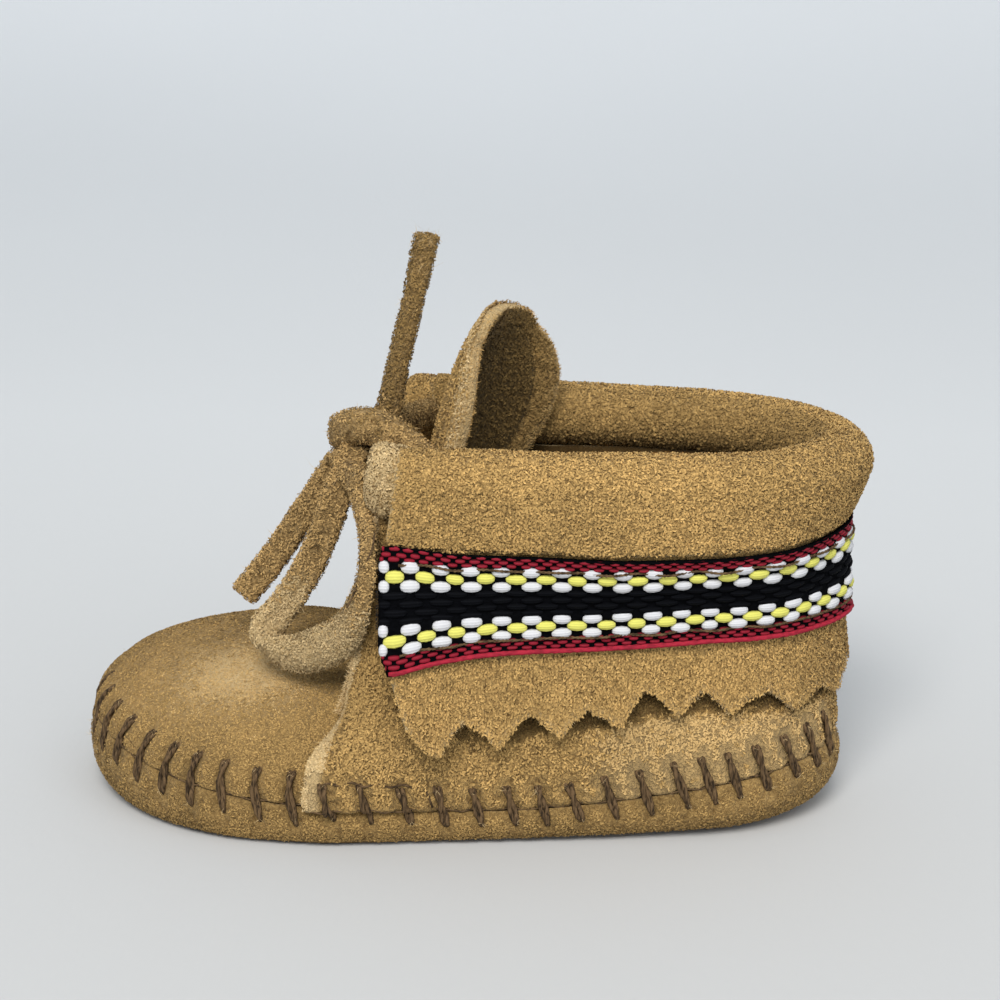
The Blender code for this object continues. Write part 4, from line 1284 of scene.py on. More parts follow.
def roll_ring(near):
    """The stuffed roll's section with its skirt, as distances out and heights: arrays [columns, ring]."""
    near = near[:, None]
    arc = np.radians(np.linspace(264, -5, ROLL_STEPS))
    height = ROLL_HEIGHT - ROLL_FALL * near / COLLAR_LENGTH
    away = ROLL_RADIUS * np.cos(arc) + 0 * near
    z = height + ROLL_RADIUS * np.sin(arc)
    foot, hem = cuff_value("top", near) + SKIRT_OVERHANG, cuff_value("hem", near)
    t = np.linspace(0, 1, 27)[1:-1]
    middle = (ROLL_RADIUS + 0.15 + foot) / 2
    pull = 2 * middle - 0.5 * (away[:, -1:] + foot)
    bend = away[:, -1:] * (1 - t) ** 2 + pull * 2 * t * (1 - t) + foot * t * t
    fall = z[:, -1:] * (1 - t) + (hem + 0.5) * t
    under = np.array([0.12, 0.5, 0.88])
    turn = foot - SKIRT_WALL * under
    low = hem + 0.18 * np.array([1, 0, 1])
    inner = np.linspace(hem + 0.5, 46.8 + 0 * hem, 5, axis=1)[..., 0]
    return (
        np.concatenate([away, bend, foot + 0 * near, turn, foot - SKIRT_WALL + 0 * inner, away[:, :1]], 1),
        np.concatenate([z, fall, hem + 0.5, low, inner, z[:, :1]], 1),
    )


def make_collar_roll(context):
    _, near, plan, out = collar_path(ROLL_FRONT_S, 0.6)
    away, z = roll_ring(near)
    points = stood_on(plan, out, away, z)
    # The front ends are cut off square, leaning back to the top
    lean = (0.4 + 1.9 * np.clip((z - 43.9) / 12.8, 0, 1)) * np.exp(-near[:, None] / 3)
    points[..., 0] -= lean * MM
    noses = []
    for end in (0, -1):
        middle = points[end].mean(0)
        loops = [middle + (points[end] - middle) * scale for _, scale in ROLL_NOSE]
        noses.append(np.array(loops) + np.array([(ahead * MM, 0, 0) for ahead, _ in ROLL_NOSE])[:, None])
    points = np.concatenate([noses[0][::-1], points, noses[1]])
    spine = points[:, :ROLL_STEPS].mean(1, keepdims=True)
    normals = turned_outward(grid_normals(points, wrap_columns=True), points, spine, ROLL_STEPS)
    points = points + normals * (0.22 * fibre_field(points, 13, 8) * MM)[..., None]
    points, height = napped(points, normals, 0.1, 0.32, 9, closed=True)
    nose = len(ROLL_NOSE)
    edge = np.concatenate([np.ones(nose), np.clip(1 - near / 0.9, 0, 1), np.ones(nose)])[:, None] + 0 * height
    mesh = grid_mesh("collar_roll_stuffed", points, {"nap": height, "edge": edge}, closed=True)
    piece = add_piece("collar_roll_stuffed", mesh, ["collar_suede"])
    points, normals = points[nose:-nose], normals[nose:-nose]
    outer, inner = slice(round(0.56 * ROLL_STEPS), ROLL_STEPS + 28), slice(0, round(0.57 * ROLL_STEPS))
    places, ways = points[:, outer], normals[:, outer]
    # Painted shade: toward its front ends the collar takes darker tufts, and its inner side the shaded tufts
    shaded_front = near[:, None] < np.random.default_rng(90).uniform(-3, 19, places.shape[:2])
    for title, finish, part in (
        ("collar_tufts", "tuft_suede", ~shaded_front),
        ("collar_front_shade_tufts", "sole_tuft", shaded_front),
    ):
        tufts(title, places[part], ways[part], *LONG_NAP, int(38000 * part.mean()), 74, finish=finish)
    places, ways = points[:, inner], normals[:, inner]
    tufts("collar_inner_tufts", places, ways, 0.74, 0.23, 17000, 82, finish="shaded_tuft")
    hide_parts("collar_roll")
    make_roll_turns()


def make_roll_turns():
    """The inner turns of the rolled leather, which stand forward of its cut front ends."""
    fine = np.linspace(0, len(TURN_FORM) - 1, 38)
    forward, swell = (smooth(column, fine)[:, None] for column in TURN_FORM.T)
    swell = np.clip(swell, 0.001, 1)
    angle = np.linspace(0, math.tau, 61)
    square = np.abs(np.cos(angle)) ** 0.8 * np.sign(np.cos(angle))
    s = ROLL_FRONT_S - 0.6 + forward - 0.35 * np.sin(angle) + 0 * angle
    y = 19.7 + 3.2 * swell * square - 0.25 * forward
    z = 52.5 + swell * (4.4 * np.sin(angle) - 1.1 * np.clip(-np.sin(angle), 0, 1)) + 0.1 * forward
    for title, side, finish in (
        ("collar_roll_turn_outer", 1, "loop_tuft"),
        ("collar_roll_turn_inner", -1, "tuft_suede"),
    ):
        points = placed_plain(np.stack([s, side * y, z], -1))
        normals = turned_outward(grid_normals(points, wrap_columns=True), points, points.mean((0, 1)))
        points = points + normals * (0.25 * fibre_field(points, 3.2, 17) * MM)[..., None]
        points, height = napped(points, normals, 0.12, 0.36, 19, closed=True)
        mesh = grid_mesh(title, points, {"nap": height, "edge": 0.5 + 0 * height}, closed=True)
        add_piece(title, mesh, ["collar_suede"])
        tufts(title + "_tufts", points, normals, *LONG_NAP, 4500, 77, finish=finish)


def cuff_arrays(step, rows):
    """The cuff's face in columns round the shoe: how far each is from the nearer front, its plan point and way
    out, how far out and how high its rows stand, and the height of its cut edge."""
    travel, near, plan, out = collar_path(CUFF_FRONT_S, step)
    low = fringe_height(near) + 0.14 * np.sin(travel * 1.9) * np.sin(travel * 0.83 + 1)
    top = cuff_value("hem", near) - HEM_GAP
    height = top[:, None] + (low - top)[:, None] * np.linspace(0, 1, rows)
    return near, plan, out, cuff_face(near[:, None], height), height, low


def make_cuff(context):
    step = 0.45
    near, plan, out, away, height, low = cuff_arrays(step, 42)
    points = stood_on(plan, out, away, height)
    normals = turned_outward(grid_normals(points), points, points.reshape(-1, 3).mean(0))
    free = np.clip((27 - height) / 9, 0, 1)
    points = points + normals * (0.3 * fibre_field(points, 8, 3) * free * MM)[..., None]
    slope = np.abs(np.gradient(low, axis=0) / step)[:, None]
    from_edge = (height - low[:, None]) / np.sqrt(1 + slope**2)
    edge = np.clip(1 - np.minimum(from_edge, near[:, None]) / 1.0, 0, 1) ** 1.2 * 0.8
    finishes = ["cuff_suede", "quarter_suede"]
    piece = leather("cuff_fringed", points, normals, finishes, (0.1, 0.34), 14, edge, CUFF_WALL)
    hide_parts("cuff")


# ---------------------------------------------------------------- braid


def braid_skin():
    """The cuff's face under the braid, by length round it and distance down from its top edge."""
    travel, near, plan, out = collar_path(CUFF_FRONT_S + BRAID_AHEAD, 0.5)
    near = near - BRAID_AHEAD
    height = (cuff_value("hem", near) - HEM_GAP)[:, None] - np.arange(0, 24.01, 0.2)
    away = cuff_face(near[:, None], height)
    steps = np.hypot(np.diff(away, axis=1), np.diff(height, axis=1))
    run = np.concatenate([np.zeros((len(near), 1)), np.cumsum(steps, 1)], 1)
    spread = 1 + (BRAID_STRETCH - 1) * np.exp(-((np.maximum(near, 0) / 6.2) ** 1.2))
    widths = np.linspace(0, BRAID_WIDTH, 73)
    z = np.array([np.interp(widths * k, r, h) for k, r, h in zip(spread, run, height)])
    away = cuff_face(near[:, None], z)
    return Skin(stood_on(plan, out, away, z), travel, widths), travel[-1]


# Rows of woven floats: place down the braid as a share of its width, length, height and pitch in millimetres,
# the part of a pitch by which the row is set on, lift off the ground, finish and piece
BRAID_ROWS = (
    (0.022, 1.4, 0.68, 1.95, 0.0, 0.30, "red_yarn"),
    (0.062, 1.4, 0.68, 1.95, 0.5, 0.34, "red_yarn"),
    (0.102, 1.4, 0.68, 1.95, 0.0, 0.32, "red_yarn"),
    (0.158, 2.65, 1.55, 4.05, 0.0, 0.62, "white_yarn"),
    (0.232, 2.7, 1.55, 4.05, 0.5, 0.66, "yellow_yarn"),
    (0.308, 2.7, 1.55, 4.05, 0.0, 0.68, "white_yarn"),
    (0.378, 3.1, 1.02, 4.05, 0.5, 0.38, "black_yarn"),
    (0.446, 3.1, 1.05, 4.05, 0.0, 0.42, "black_yarn"),
    (0.514, 3.1, 1.05, 4.05, 0.5, 0.42, "black_yarn"),
    (0.580, 3.1, 1.02, 4.05, 0.0, 0.38, "black_yarn"),
    (0.648, 2.7, 1.55, 4.05, 0.0, 0.68, "white_yarn"),
    (0.722, 2.7, 1.55, 4.05, 0.5, 0.66, "yellow_yarn"),
    (0.794, 2.65, 1.55, 4.05, 0.0, 0.62, "white_yarn"),
    (0.846, 1.4, 0.68, 1.95, 0.0, 0.32, "red_yarn"),
    (0.886, 1.4, 0.68, 1.95, 0.5, 0.34, "red_yarn"),
    (0.926, 1.4, 0.68, 1.95, 0.0, 0.32, "red_yarn"),
)
BRAID_LIFT = 1.0


def braid_start(share):
    """How far the braid's cut front end draws back, by the share of its width."""
    return 0.5 * np.clip(1 - share / 0.14, 0, 1) + BRAID_SLANT * np.clip((share - 0.78) / 0.22, 0, 1)


def float_template():
    """A woven float: a low pillow, 2 long, 2 wide and 1 high, with blunt ends."""
    work = bmesh.new()
    bmesh.ops.create_uvsphere(work, u_segments=8, v_segments=6, radius=1)
    for vert in work.verts:
        x, y, z = vert.co.z, vert.co.y, vert.co.x
        blunt = math.copysign(abs(y) ** 0.75, y) * (1 - 0.18 * x * x)
        vert.co = (math.copysign(abs(x) ** 0.8, x), blunt, z if z > 0 else 0.25 * z)
    bmesh.ops.recalc_face_normals(work, faces=work.faces)
    return mesh_of(work, "float")


def weave_floats(skin, whole):
    """The woven floats, row by row, one piece for each colour of yarn."""
    draw = np.random.default_rng(21)
    template = float_template()
    x, y, z = template_points(template).T
    by_finish = {}
    for share, long, high, pitch, offset, rise, finish in BRAID_ROWS:
        centre = np.arange(offset * pitch + 0.1, whole - 0.2, pitch)
        centre = centre + draw.normal(0, 0.05, len(centre))
        half = long / 2 * draw.uniform(0.92, 1.08, len(centre))
        slant = braid_start(share)
        first = np.clip(centre - half, slant, None)
        final = np.maximum(np.clip(centre + half, None, whole - slant), first + 0.2)
        centre, half = (first + final) / 2, (final - first) / 2
        down = share * BRAID_WIDTH + draw.normal(0, 0.04, len(centre))
        fat = high / 2 * draw.uniform(0.94, 1.05, len(centre))
        lean = draw.normal(0, 0.03, len(centre))
        at = centre[:, None] + half[:, None] * x
        across = down[:, None] + fat[:, None] * y + lean[:, None] * (half[:, None] * x)
        lift = BRAID_LIFT + rise * z[None] * draw.uniform(0.9, 1.1, (len(centre), 1))
        by_finish.setdefault(finish, []).append(skin.at(at, np.clip(across, 0, BRAID_WIDTH), lift))
    for finish, places in by_finish.items():
        places = np.concatenate(places)
        mesh = stamped("braid_" + finish, template, places)
        mark(mesh, "strand", np.tile((y + 1) / 2, len(places)))
        add_piece("braid_" + finish, mesh, [finish])


def lay_braid_threads(skin, whole):
    """The cords along the braid's edges, the thread that sews it down, and the fray at its cut ends."""
    run = np.arange(BRAID_SLANT, whole - BRAID_SLANT, 0.5)
    for title, down, radius, finish in (
        ("braid_selvage_lower", BRAID_WIDTH - 0.42, 0.36, "red_selvage"),
        ("braid_selvage_upper", 0.1, 0.14, "black_ground"),
    ):
        route = skin.at(run, down + 0 * run, BRAID_LIFT + 0.1 + 0.05 * np.sin(run * 4.3))
        fat = radius * (1 + 0.12 * np.sin(run * math.tau / 0.9)) * MM
        add_piece(title, tube_mesh("selvage", route, fat, 8), [finish])

    run = np.arange(2.6, whole - 2.6, 0.42)
    threads = []
    for down, phase in ((1.95, 0.3), (12.05, 1.1)):
        for twist in (0, math.pi):
            lift = BRAID_LIFT + 0.42 + 0.24 * np.sin(run * math.tau / 7.4 + phase)
            lift = lift + 0.1 * np.sin(run * 5 + twist)
            away = down + 0.12 * np.sin(run * 0.7 + phase) + 0.11 * np.cos(run * 5 + twist)
            threads.append(tube_mesh("thread", skin.at(run, away, lift), 0.13 * MM, 5))
    add_piece("braid_sewing_thread", joined_mesh("braid_sewing_thread", threads), ["brown_thread"])

    roots, ways = [], []
    down = np.linspace(0.34, 0.62, 40) * BRAID_WIDTH
    for end in (0.0, whole):
        root, inner = (skin.at(np.abs(end - shift) + 0 * down, down, BRAID_LIFT + 0.1) for shift in (0.0, 1.0))
        roots.append(root)
        ways.append(unit(root - inner))
    roots, ways = np.concatenate(roots), np.concatenate(ways)
    fuzz("braid_fray", roots, ways, 0.4, 0.12, 160, 31, "dark_fray", "braid", spread=0.3, droop=0.0)


def make_braid(context):
    skin, whole = braid_skin()
    widths = np.linspace(0.1, BRAID_WIDTH - 0.1, 26)
    travel = np.arange(0, whole + 0.01, 0.6)
    lift = BRAID_LIFT + 0.06 * np.sin(travel[:, None] * math.tau / 2.1) * np.sin(widths * math.tau / 0.9)
    start = braid_start(widths / BRAID_WIDTH)
    ground = skin.at(np.clip(travel[:, None], start, whole - start), widths + 0 * travel[:, None], lift)
    mesh = grid_mesh("braid_ground", ground)
    if ((ground - ground.reshape(-1, 3).mean(0)) * grid_normals(ground)).sum() < 0:
        mesh.flip_normals()
    piece = walled(add_piece("braid_ground", mesh, ["black_ground"]), 0.45, inner=0, rim=0)
    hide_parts("braid")
    weave_floats(skin, whole)
    lay_braid_threads(skin, whole)


# ---------------------------------------------------------------- thong


def ribbon_points(route, lead, width, thick, curl):
    """A flat thong laid along a route in metres: its skin as a grid. width has a value for each point."""
    tangent = unit(np.gradient(route, axis=0))
    flat = unit(lead - tangent * (lead * tangent).sum(1, keepdims=True))
    third = np.cross(tangent, flat)
    angle = np.linspace(0, math.tau, 29)
    side = np.sign(np.cos(angle)) * np.abs(np.cos(angle)) ** 0.62
    through = np.sign(np.sin(angle)) * np.abs(np.sin(angle)) ** 0.7 * thick / 2
    across = side * width[:, None] / 2
    through = through - curl * width[:, None] * (side**2 - 0.4)
    points = route[:, None] + (flat[:, None] * across[..., None] + third[:, None] * through[..., None]) * MM
    caps = []
    for end, way in ((0, -1), (-1, 1)):
        loops = []
        for share in (0.35, 0.75, 1.0):
            size = math.sqrt(max(1 - share**2, 0)) * 0.55 + 0.45 * (share < 1) + 1e-4
            centre = route[end] + tangent[end] * way * share * 0.45 * MM
            loops.append(centre + (points[end] - route[end]) * size)
        caps.append(np.array(loops))
    return np.concatenate([caps[0][::-1], points, caps[1]])


def make_ribbon(name, route, lead, width, thick, seed, curl=0.12, pale=0.0):
    points = ribbon_points(route, lead, width, thick, curl)
    normals = turned_outward(grid_normals(points, wrap_columns=True), points, points.mean(1, keepdims=True))
    points, height = napped(points, normals, 0.15, 0.36, seed, closed=True)
    edge = np.zeros(height.shape) + np.pad(np.broadcast_to(pale, len(route)), 3)[:, None]
    edge[:4], edge[-4:] = 0.3, 0.3
    mesh = grid_mesh(name, points, {"nap": height, "edge": edge}, closed=True)
    return add_piece(name, mesh, ["thong_suede"]), points, normals


def routed(points, lay):
    """A smooth line through given points, in metres, in about equal steps, with the thong's lay along it:
    the direction across it, and its share of the full width. lay lists those by the point's number."""
    at = np.linspace(0, len(points) - 1, 60 * (len(points) - 1) + 1)
    line = placed_plain(smooth(points, at))
    run = run_along(line)
    even = np.linspace(0, run[-1], int(run[-1] / MM / ROUTE_STEP) + 1)
    number, *columns = np.array([(n, *across, share) for n, across, share in lay], float).T
    laid = np.stack([np.interp(np.interp(even, run, at), number, column) for column in columns], -1)
    return np.stack([np.interp(even, run, line[:, i]) for i in range(3)], -1), laid[:, :3], laid[:, 3]


def make_knot():
    """The knot's rounded core."""
    work = bmesh.new()
    bmesh.ops.create_icosphere(work, subdivisions=5, radius=1)
    place = placed_plain(np.array(KNOT_CENTRE))
    for vert in work.verts:
        ripple = 1 + 0.1 * noise.noise(vert.co * 2.2) + 0.06 * noise.noise(vert.co * 6)
        vert.co = [vert.co[i] * KNOT_RADII[i] * ripple * MM + place[i] for i in range(3)]
    core = add_piece("thong_knot", mesh_of(work, "thong_knot"), ["thong_suede"])
    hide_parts("lace_knot")


def make_thong(context):
    sizes = context.scene.moccasin_sizes
    width, thick = sizes.thong_width / MM, sizes.thong_thickness / MM
    outer, flat, wide = routed(OUTER_ROUTE, OUTER_LAY)
    low = np.clip((38 * MM - outer[:, 2]) / (8 * MM), 0, 1) * (outer[:, 1] > 10 * MM)
    laid = [make_ribbon("thong_outer_loop", outer, flat, width * wide, thick, 41, pale=low)]
    inner, flat, wide = routed(INNER_ROUTE, INNER_LAY)
    laid.append(make_ribbon("thong_inner_loop", inner, flat, width * wide, thick, 42))
    for (piece, _, _), route, nodes in (
        (laid[0], outer, ("lace_loop_outer", "lace_end_front")),
        (laid[1], inner, ("lace_loop_inner", "lace_end_up")),
    ):
        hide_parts(*nodes)
    bar, flat, wide = routed(BAR_ROUTE, PLAIN_LAY)
    laid.append(make_ribbon("thong_bar", bar, flat, width * 0.82 * wide, thick, 43))
    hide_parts("lace_bar")
    band, flat, wide = routed(KNOT_BAND, PLAIN_LAY)
    laid.append(make_ribbon("thong_knot_band", band, flat, width * 1.04 * wide, thick * 1.7, 44, curl=-0.06))
    make_knot()

    roots = np.concatenate([points.reshape(-1, 3) for _, points, _ in laid])
    normals = np.concatenate([normals.reshape(-1, 3) for _, _, normals in laid])
    # The outer loop is paler where it hangs low, and the upright end's back is darkened as painted shade
    fading = np.random.default_rng(56).uniform(30.5, 37.5, len(roots)) * MM
    pale = (roots[:, 2] < fading) & (roots[:, 1] > 10 * MM)
    recoloured = (roots[:, 2] > fading + 24 * MM) & (roots[:, 0] < 17.5 * MM)
    body = (~pale).sum()
    for title, finish, part, count, seed in (
        ("thong_tufts", "thong_tuft", ~pale & ~recoloured, int(30000 * (~pale & ~recoloured).sum() / body), 51),
        ("thong_upright_shade_tufts", "band_tuft", recoloured, int(30000 * recoloured.sum() / body), 51),
        ("thong_loop_tufts", "loop_tuft", pale, 6500, 55),
    ):
        tufts(title, roots[part], normals[part], 0.64, 0.18, count, seed, "thong", finish, lift=0.24)
    fuzz("thong_fuzz", roots, normals, 0.45, 0.08, 6000, 54, "fibre", "thong", spread=1.0, curl=0.9)
    fuzz("thong_long_hairs", roots, normals, 1.5, 0.05, 300, 52, "pale_fibre", "thong", 0.8, 0.3, curl=0.9)
    tip = laid[1][1][-4]
    ends = tip[:: len(tip) // 4][:4]
    aims = np.array([(-0.3, 0.1, 1), (0.1, 0.2, 1), (-0.5, 0, 0.8), (-0.8, 0.1, 0.6)], float)
    fuzz("thong_tip_hairs", ends, aims, 2.1, 0.05, 16, 53, "fibre", "thong", spread=0.45, droop=0.1, curl=0.9)


# ---------------------------------------------------------------- stitches


def stitch_mesh(name, skin, first, final, radius, lift, turn):
    """One strand of a stitch, twisted with its pair: out of one hole, over the seam and into the other."""
    t = np.linspace(0, 1, 14)
    arch = np.minimum(1, np.minimum(t, 1 - t) * 6.0) ** 0.7
    twist = turn + t * math.tau * 0.75
    length = first[0] + (final[0] - first[0]) * t + 0.36 * np.cos(twist)
    width = first[1] + (final[1] - first[1]) * t
    route = skin.at(length, width, -0.75 + (0.75 + lift) * arch + 0.16 * np.sin(twist) * arch)
    return tube_mesh(name, route, radius * MM * (1 + 0.12 * np.sin(t * 31 + turn)), 6)


def make_stitches(context):
    sizes = context.scene.moccasin_sizes
    radius = sizes.thread_width / MM / 2
    draw = np.random.default_rng(61)
    strands, tops, feet = [], [], []
    whole, first_row = RIM_RUN[-1], rim_length(QUARTER_ROW)
    for side in (1, -1):
        for place in STITCHES:
            up, down, top, foot = stitch_form(np.interp(place, RIM_RUN[:HALF_RIM], RIM_ROWS[:HALF_RIM]))
            up, down = up + draw.uniform(-0.3, 0.3), down + draw.uniform(-0.25, 0.25)
            top, foot = top + draw.uniform(-0.2, 0.2), foot + draw.uniform(-0.2, 0.2)
            base = place if side > 0 else whole - place
            at, foot = base + side * top, base + side * foot
            start_turn = draw.uniform(-0.7, 0.7)
            # The stitches lie deeper at the toe, and stand out where they first cross the quarter
            crossing = math.exp(-(((place - first_row - 2) / 3.5) ** 2))
            lift = np.interp(place, [0, 25, 40], [-0.28, -0.2, -0.1]) + 0.35 * crossing
            for turn in (start_turn, start_turn + math.pi):
                strands.append(stitch_mesh("strand", RIM, (at, up), (foot, -down), radius, lift, turn))
            tops.append((at, up - 0.6))
            feet.append((foot, 0.6 - down))
    add_piece("sole_stitches", joined_mesh("sole_stitches", strands), ["stitch_thread"])

    runs = []
    for first, final, height, wave in (
        (10, RIM_HALF * 0.62, 0.05, 0.1),
        (RIM_HALF * 0.62, RIM_HALF * 0.98, 0.1, 0.15),
    ):
        for side in (1, -1):
            run = np.arange(first, final, 0.5)
            at = run if side > 0 else whole - run
            lift = -0.26 + 0.2 * np.sin(run * math.tau / 10.2 + 1) + 0.1 * np.sin(run * 2.3)
            runs.append(tube_mesh("seam", RIM.at(at, height + wave * np.sin(run * 1.3), lift), 0.12 * MM, 5))
    start = rim_length(QUARTER_ROW + 0.35)
    for side in (1, -1):
        run = np.linspace(start, start + 15, 40)
        at = run if side > 0 else whole - run
        height = np.interp(run, [start, start + 1, start + 14, start + 15], [4.2, 4.5, 3.8, 0.4])
        height = height + 0.25 * np.sin(run * 1.7)
        runs.append(tube_mesh("seam", RIM.at(at, height, -0.08 + 0.1 * np.sin(run * 1.2)), 0.17 * MM, 5))
    at = np.linspace(0, len(HANGING_END) - 1, 40)
    runs.append(tube_mesh("loose", placed_plain(smooth(HANGING_END, at)), 0.14 * MM, 5))
    add_piece("seam_thread", joined_mesh("seam_thread", runs), ["brown_thread"])

    roots = np.array([RIM.at(at, height, 0.2) for at, height in tops + feet])
    at = np.array([at for at, _ in tops] * 2)
    ways = unit(RIM.at(at, 0 * at, 1.0) - RIM.at(at, 0 * at, 0.0))
    fuzz("stitch_fuzz", roots, ways, 0.8, 0.05, 420, 62, "pale_fibre", "thong", spread=0.8, droop=0.1, curl=0.6)


# ---------------------------------------------------------------- nap and cut edges


def make_fuzz(context):
    """Loose fibres along the cut edges and over the open nap."""
    near, plan, out, away, height, low = cuff_arrays(0.25, 2)
    inward = np.array([0.1, 0.7, 1.3])
    tooth = stood_on(plan, out, cuff_face(near, low)[:, None] - inward, low[:, None] + 0 * inward)
    down = np.tile(np.array([0, 0, -1.0]), (*tooth.shape[:2], 1)) + 0.5 * joined(out, 0 * near)[:, None]
    fuzz("cuff_edge_fuzz", tooth, down, 0.6, 0.085, 6500, 71, "pale_fibre", "suede", spread=0.5, droop=0.0)

    v = np.linspace(0.02, 1, 90)
    u = np.array([[QUARTER_ROW + 1e-6]])
    rows = np.linspace(QUARTER_ROW, COLLAR_ROW, 120)
    roots, ways = [], []
    for hand in (1, -1):
        normal, place = wall_normal(u + 0.05, v), wall(u, v)
        place[..., 0] += np.interp(place[..., 2], *FRONT_EDGE_SWING)
        for stand in (0.3, 0.8, 1.3):
            roots.append(placed(sided(place + stand * normal, hand))[0])
            ways.append(sided(0.4 * normal + np.array([1.0, 0, 0.1]), hand)[0])
        normal, edge = wall_normal(rows, 1.0), wall(rows, 1.0)
        stand = quarter_stand(rows)[:, None] * normal
        for share in (0.2, 0.6, 1.0):
            roots.append(placed(sided(edge + stand - (1 - share) * 1.3 * normal, hand)))
            ways.append(sided(0.4 * normal + np.array([0.8, 0, 0.5]), hand))
    roots, ways = np.concatenate(roots), np.concatenate(ways)
    hairs = {"spread": 0.8, "droop": 0.0, "curl": 0.8}
    fuzz("quarter_edge_fuzz", roots, ways, 0.55, 0.085, 7000, 72, "pale_fibre", "suede", **hairs)

    b = np.linspace(2, TONGUE_TIP, 160)[:, None]
    lifts = (-0.6, 0.0, 0.6)
    rim = np.concatenate([tongue_surface(b, np.array([[-1.0, 1.0]]), lift) for lift in lifts], 1)
    inner = np.concatenate([tongue_surface(b - 0.1, np.array([[-0.93, 0.93]]), lift) for lift in lifts], 1)
    ways = unit(rim - inner)
    roots = placed_plain(rim)
    fuzz("tongue_edge_fuzz", roots, ways, 0.6, 0.085, 3000, 73, "fibre", "suede", spread=0.6, droop=0.0)

    near, plan, out, away, height, low = cuff_arrays(0.5, 30)
    shown = height < 31
    points = stood_on(plan, out, away, height)
    ways = np.broadcast_to(joined(out, 0 * near)[:, None], points.shape)
    tufts("cuff_tufts", points[shown], ways[shown], 0.7, 0.2, 22000, 75, comb=(0, 0, -1.6))


# ---------------------------------------------------------------- the add-on


def length_prop(name, description, default):
    return bpy.props.FloatProperty(
        name=name, description=description, default=default, unit="LENGTH", precision=4
    )


def angle_prop(name, description, degrees):
    return bpy.props.FloatProperty(
        name=name, description=description, default=math.radians(degrees), subtype="ANGLE"
    )


def colour_prop(name, description, default):
    return bpy.props.FloatVectorProperty(
        name=name, description=description, default=default, subtype="COLOR", size=3, min=0, max=1
    )


class MoccasinSizes(bpy.types.PropertyGroup):
    """Sizes and studio settings that a user would change."""

    thong_width: length_prop("Thong width", "Width of the flat thong", 0.0045)
    thong_thickness: length_prop("Thong thickness", "Thickness of the flat thong", 0.0022)
    thread_width: length_prop("Stitch thread", "Width of one strand of the sole's stitches", 0.00072)
    camera_azimuth: angle_prop("Azimuth", "Where the camera stands round the shoe", 185.2)
    camera_elevation: angle_prop("Elevation", "How far the camera looks down", 17.1)
    camera_distance: length_prop("Distance", "From the camera to the shoe's middle", 0.3314)
    key_light: bpy.props.FloatProperty(
        name="Key light", description="Power of the large soft light above", default=9.6, unit="POWER"
    )
    fill_light: bpy.props.FloatProperty(
        name="Fill light", description="Strength of the light all round", default=0.76
    )


class MoccasinColours(bpy.types.PropertyGroup):
    """Colours that a user would change."""

    suede: colour_prop("Suede", "Tips of the nap", (0.53, 0.335, 0.122))
    # Painted shade: the dark between the nap's tufts
    suede_gaps: colour_prop("Suede gaps", "Between the tufts of the nap", (0.15, 0.085, 0.028))
    cut_edge: colour_prop("Cut edge", "Raw cut edges of the leather", (0.68, 0.50, 0.26))
    thong: colour_prop("Thong", "Suede of the thong", (0.41, 0.265, 0.108))
    stitch_thread: colour_prop("Stitch thread", "Waxed thread of the stitches", (0.138, 0.084, 0.04))
    braid_white: colour_prop("Braid white", "White floats of the braid", (0.62, 0.62, 0.64))
    braid_yellow: colour_prop("Braid yellow", "Yellow floats of the braid", (0.68, 0.655, 0.14))
    braid_red: colour_prop("Braid red", "Red borders of the braid", (0.24, 0.011, 0.024))
    braid_black: colour_prop("Braid black", "Ground of the braid", (0.0022, 0.0024, 0.0033))


class MOCCASIN_OT_stage(bpy.types.Operator):
    """Set up the pale floor, the soft lights and the camera."""

    bl_idname = "moccasin.stage"
    bl_label = "Stage"
    bl_options = {"REGISTER", "UNDO"}

    def execute(self, context):
        make_stage(context)
        return {"FINISHED"}


class MOCCASIN_OT_thong(bpy.types.Operator):
    """Tie the suede thong: its bar, knot, two loops and two ends."""

    bl_idname = "moccasin.thong"
    bl_label = "Thong bow"
    bl_options = {"REGISTER", "UNDO"}

    def execute(self, context):
        make_thong(context)
        return {"FINISHED"}


class MOCCASIN_OT_sole(bpy.types.Operator):
    """Turn up the suede sole."""

    bl_idname = "moccasin.sole"
    bl_label = "Sole"
    bl_options = {"REGISTER", "UNDO"}

    def execute(self, context):
        make_sole(context)
        return {"FINISHED"}


class MOCCASIN_OT_insole(bpy.types.Operator):
    """Lay the insole in the sole."""

    bl_idname = "moccasin.insole"
    bl_label = "Insole"
    bl_options = {"REGISTER", "UNDO"}

    def execute(self, context):
        make_insole(context)
        return {"FINISHED"}


class MOCCASIN_OT_vamp(bpy.types.Operator):
    """Shape the vamp over the toes."""

    bl_idname = "moccasin.vamp"
    bl_label = "Vamp"
    bl_options = {"REGISTER", "UNDO"}

    def execute(self, context):
        make_vamp(context)
        return {"FINISHED"}


class MOCCASIN_OT_quarters(bpy.types.Operator):
    """Wrap the quarters round the heel."""

    bl_idname = "moccasin.quarters"
    bl_label = "Quarters"
    bl_options = {"REGISTER", "UNDO"}

    def execute(self, context):
        make_quarters(context)
        return {"FINISHED"}


class MOCCASIN_OT_tongue(bpy.types.Operator):
    """Stand the lined tongue in the throat."""

    bl_idname = "moccasin.tongue"
    bl_label = "Tongue"
    bl_options = {"REGISTER", "UNDO"}

    def execute(self, context):
        make_tongue(context)
        return {"FINISHED"}


class MOCCASIN_OT_collar_roll(bpy.types.Operator):
    """Stuff the rolled collar and hang its skirt."""

    bl_idname = "moccasin.collar_roll"
    bl_label = "Collar roll"
    bl_options = {"REGISTER", "UNDO"}

    def execute(self, context):
        make_collar_roll(context)
        return {"FINISHED"}


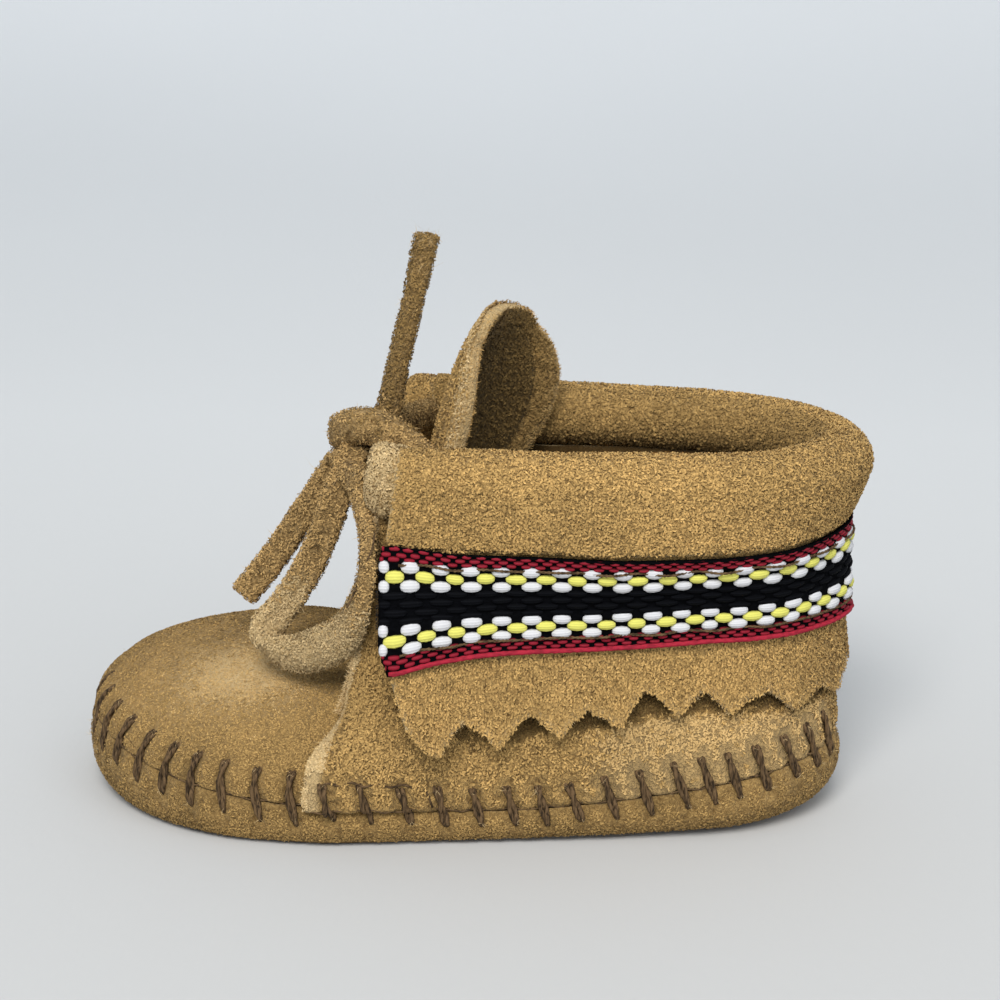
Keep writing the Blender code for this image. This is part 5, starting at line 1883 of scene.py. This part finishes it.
class MOCCASIN_OT_cuff(bpy.types.Operator):
    """Cut the fringed cuff."""

    bl_idname = "moccasin.cuff"
    bl_label = "Cuff"
    bl_options = {"REGISTER", "UNDO"}

    def execute(self, context):
        make_cuff(context)
        return {"FINISHED"}


class MOCCASIN_OT_braid(bpy.types.Operator):
    """Weave the braid round the cuff."""

    bl_idname = "moccasin.braid"
    bl_label = "Braid"
    bl_options = {"REGISTER", "UNDO"}

    def execute(self, context):
        make_braid(context)
        return {"FINISHED"}


class MOCCASIN_OT_stitches(bpy.types.Operator):
    """Sew the sole to the upper."""

    bl_idname = "moccasin.stitches"
    bl_label = "Stitches"
    bl_options = {"REGISTER", "UNDO"}

    def execute(self, context):
        make_stitches(context)
        return {"FINISHED"}


class MOCCASIN_OT_fuzz(bpy.types.Operator):
    """Raise loose fibres on the nap and the cut edges."""

    bl_idname = "moccasin.fuzz"
    bl_label = "Fuzz"
    bl_options = {"REGISTER", "UNDO"}

    def execute(self, context):
        make_fuzz(context)
        return {"FINISHED"}


STEPS = (
    MOCCASIN_OT_stage,
    MOCCASIN_OT_thong,
    MOCCASIN_OT_sole,
    MOCCASIN_OT_insole,
    MOCCASIN_OT_vamp,
    MOCCASIN_OT_quarters,
    MOCCASIN_OT_tongue,
    MOCCASIN_OT_collar_roll,
    MOCCASIN_OT_cuff,
    MOCCASIN_OT_braid,
    MOCCASIN_OT_stitches,
    MOCCASIN_OT_fuzz,
)


class MOCCASIN_PT_panel(bpy.types.Panel):
    """Builds the moccasin a piece at a time."""

    bl_idname = "MOCCASIN_PT_panel"
    bl_label = "Moccasin"
    bl_space_type = "VIEW_3D"
    bl_region_type = "UI"
    bl_category = "Moccasin"

    def draw(self, context):
        for group in (context.scene.moccasin_sizes, context.scene.moccasin_colours):
            box = self.layout.box()
            for name in group.bl_rna.properties.keys():
                if name not in ("rna_type", "name"):
                    box.prop(group, name)
        for step in STEPS:
            self.layout.operator(step.bl_idname)


CLASSES = (MoccasinSizes, MoccasinColours, *STEPS, MOCCASIN_PT_panel)


def register():
    for made in CLASSES:
        bpy.utils.register_class(made)
    bpy.types.Scene.moccasin_sizes = bpy.props.PointerProperty(type=MoccasinSizes)
    bpy.types.Scene.moccasin_colours = bpy.props.PointerProperty(type=MoccasinColours)


def unregister():
    del bpy.types.Scene.moccasin_colours
    del bpy.types.Scene.moccasin_sizes
    for made in reversed(CLASSES):
        bpy.utils.unregister_class(made)


def main():
    register()
    for step in STEPS:
        group, name = step.bl_idname.split(".")
        getattr(getattr(bpy.ops, group), name)()


if __name__ == "__main__":
    main()
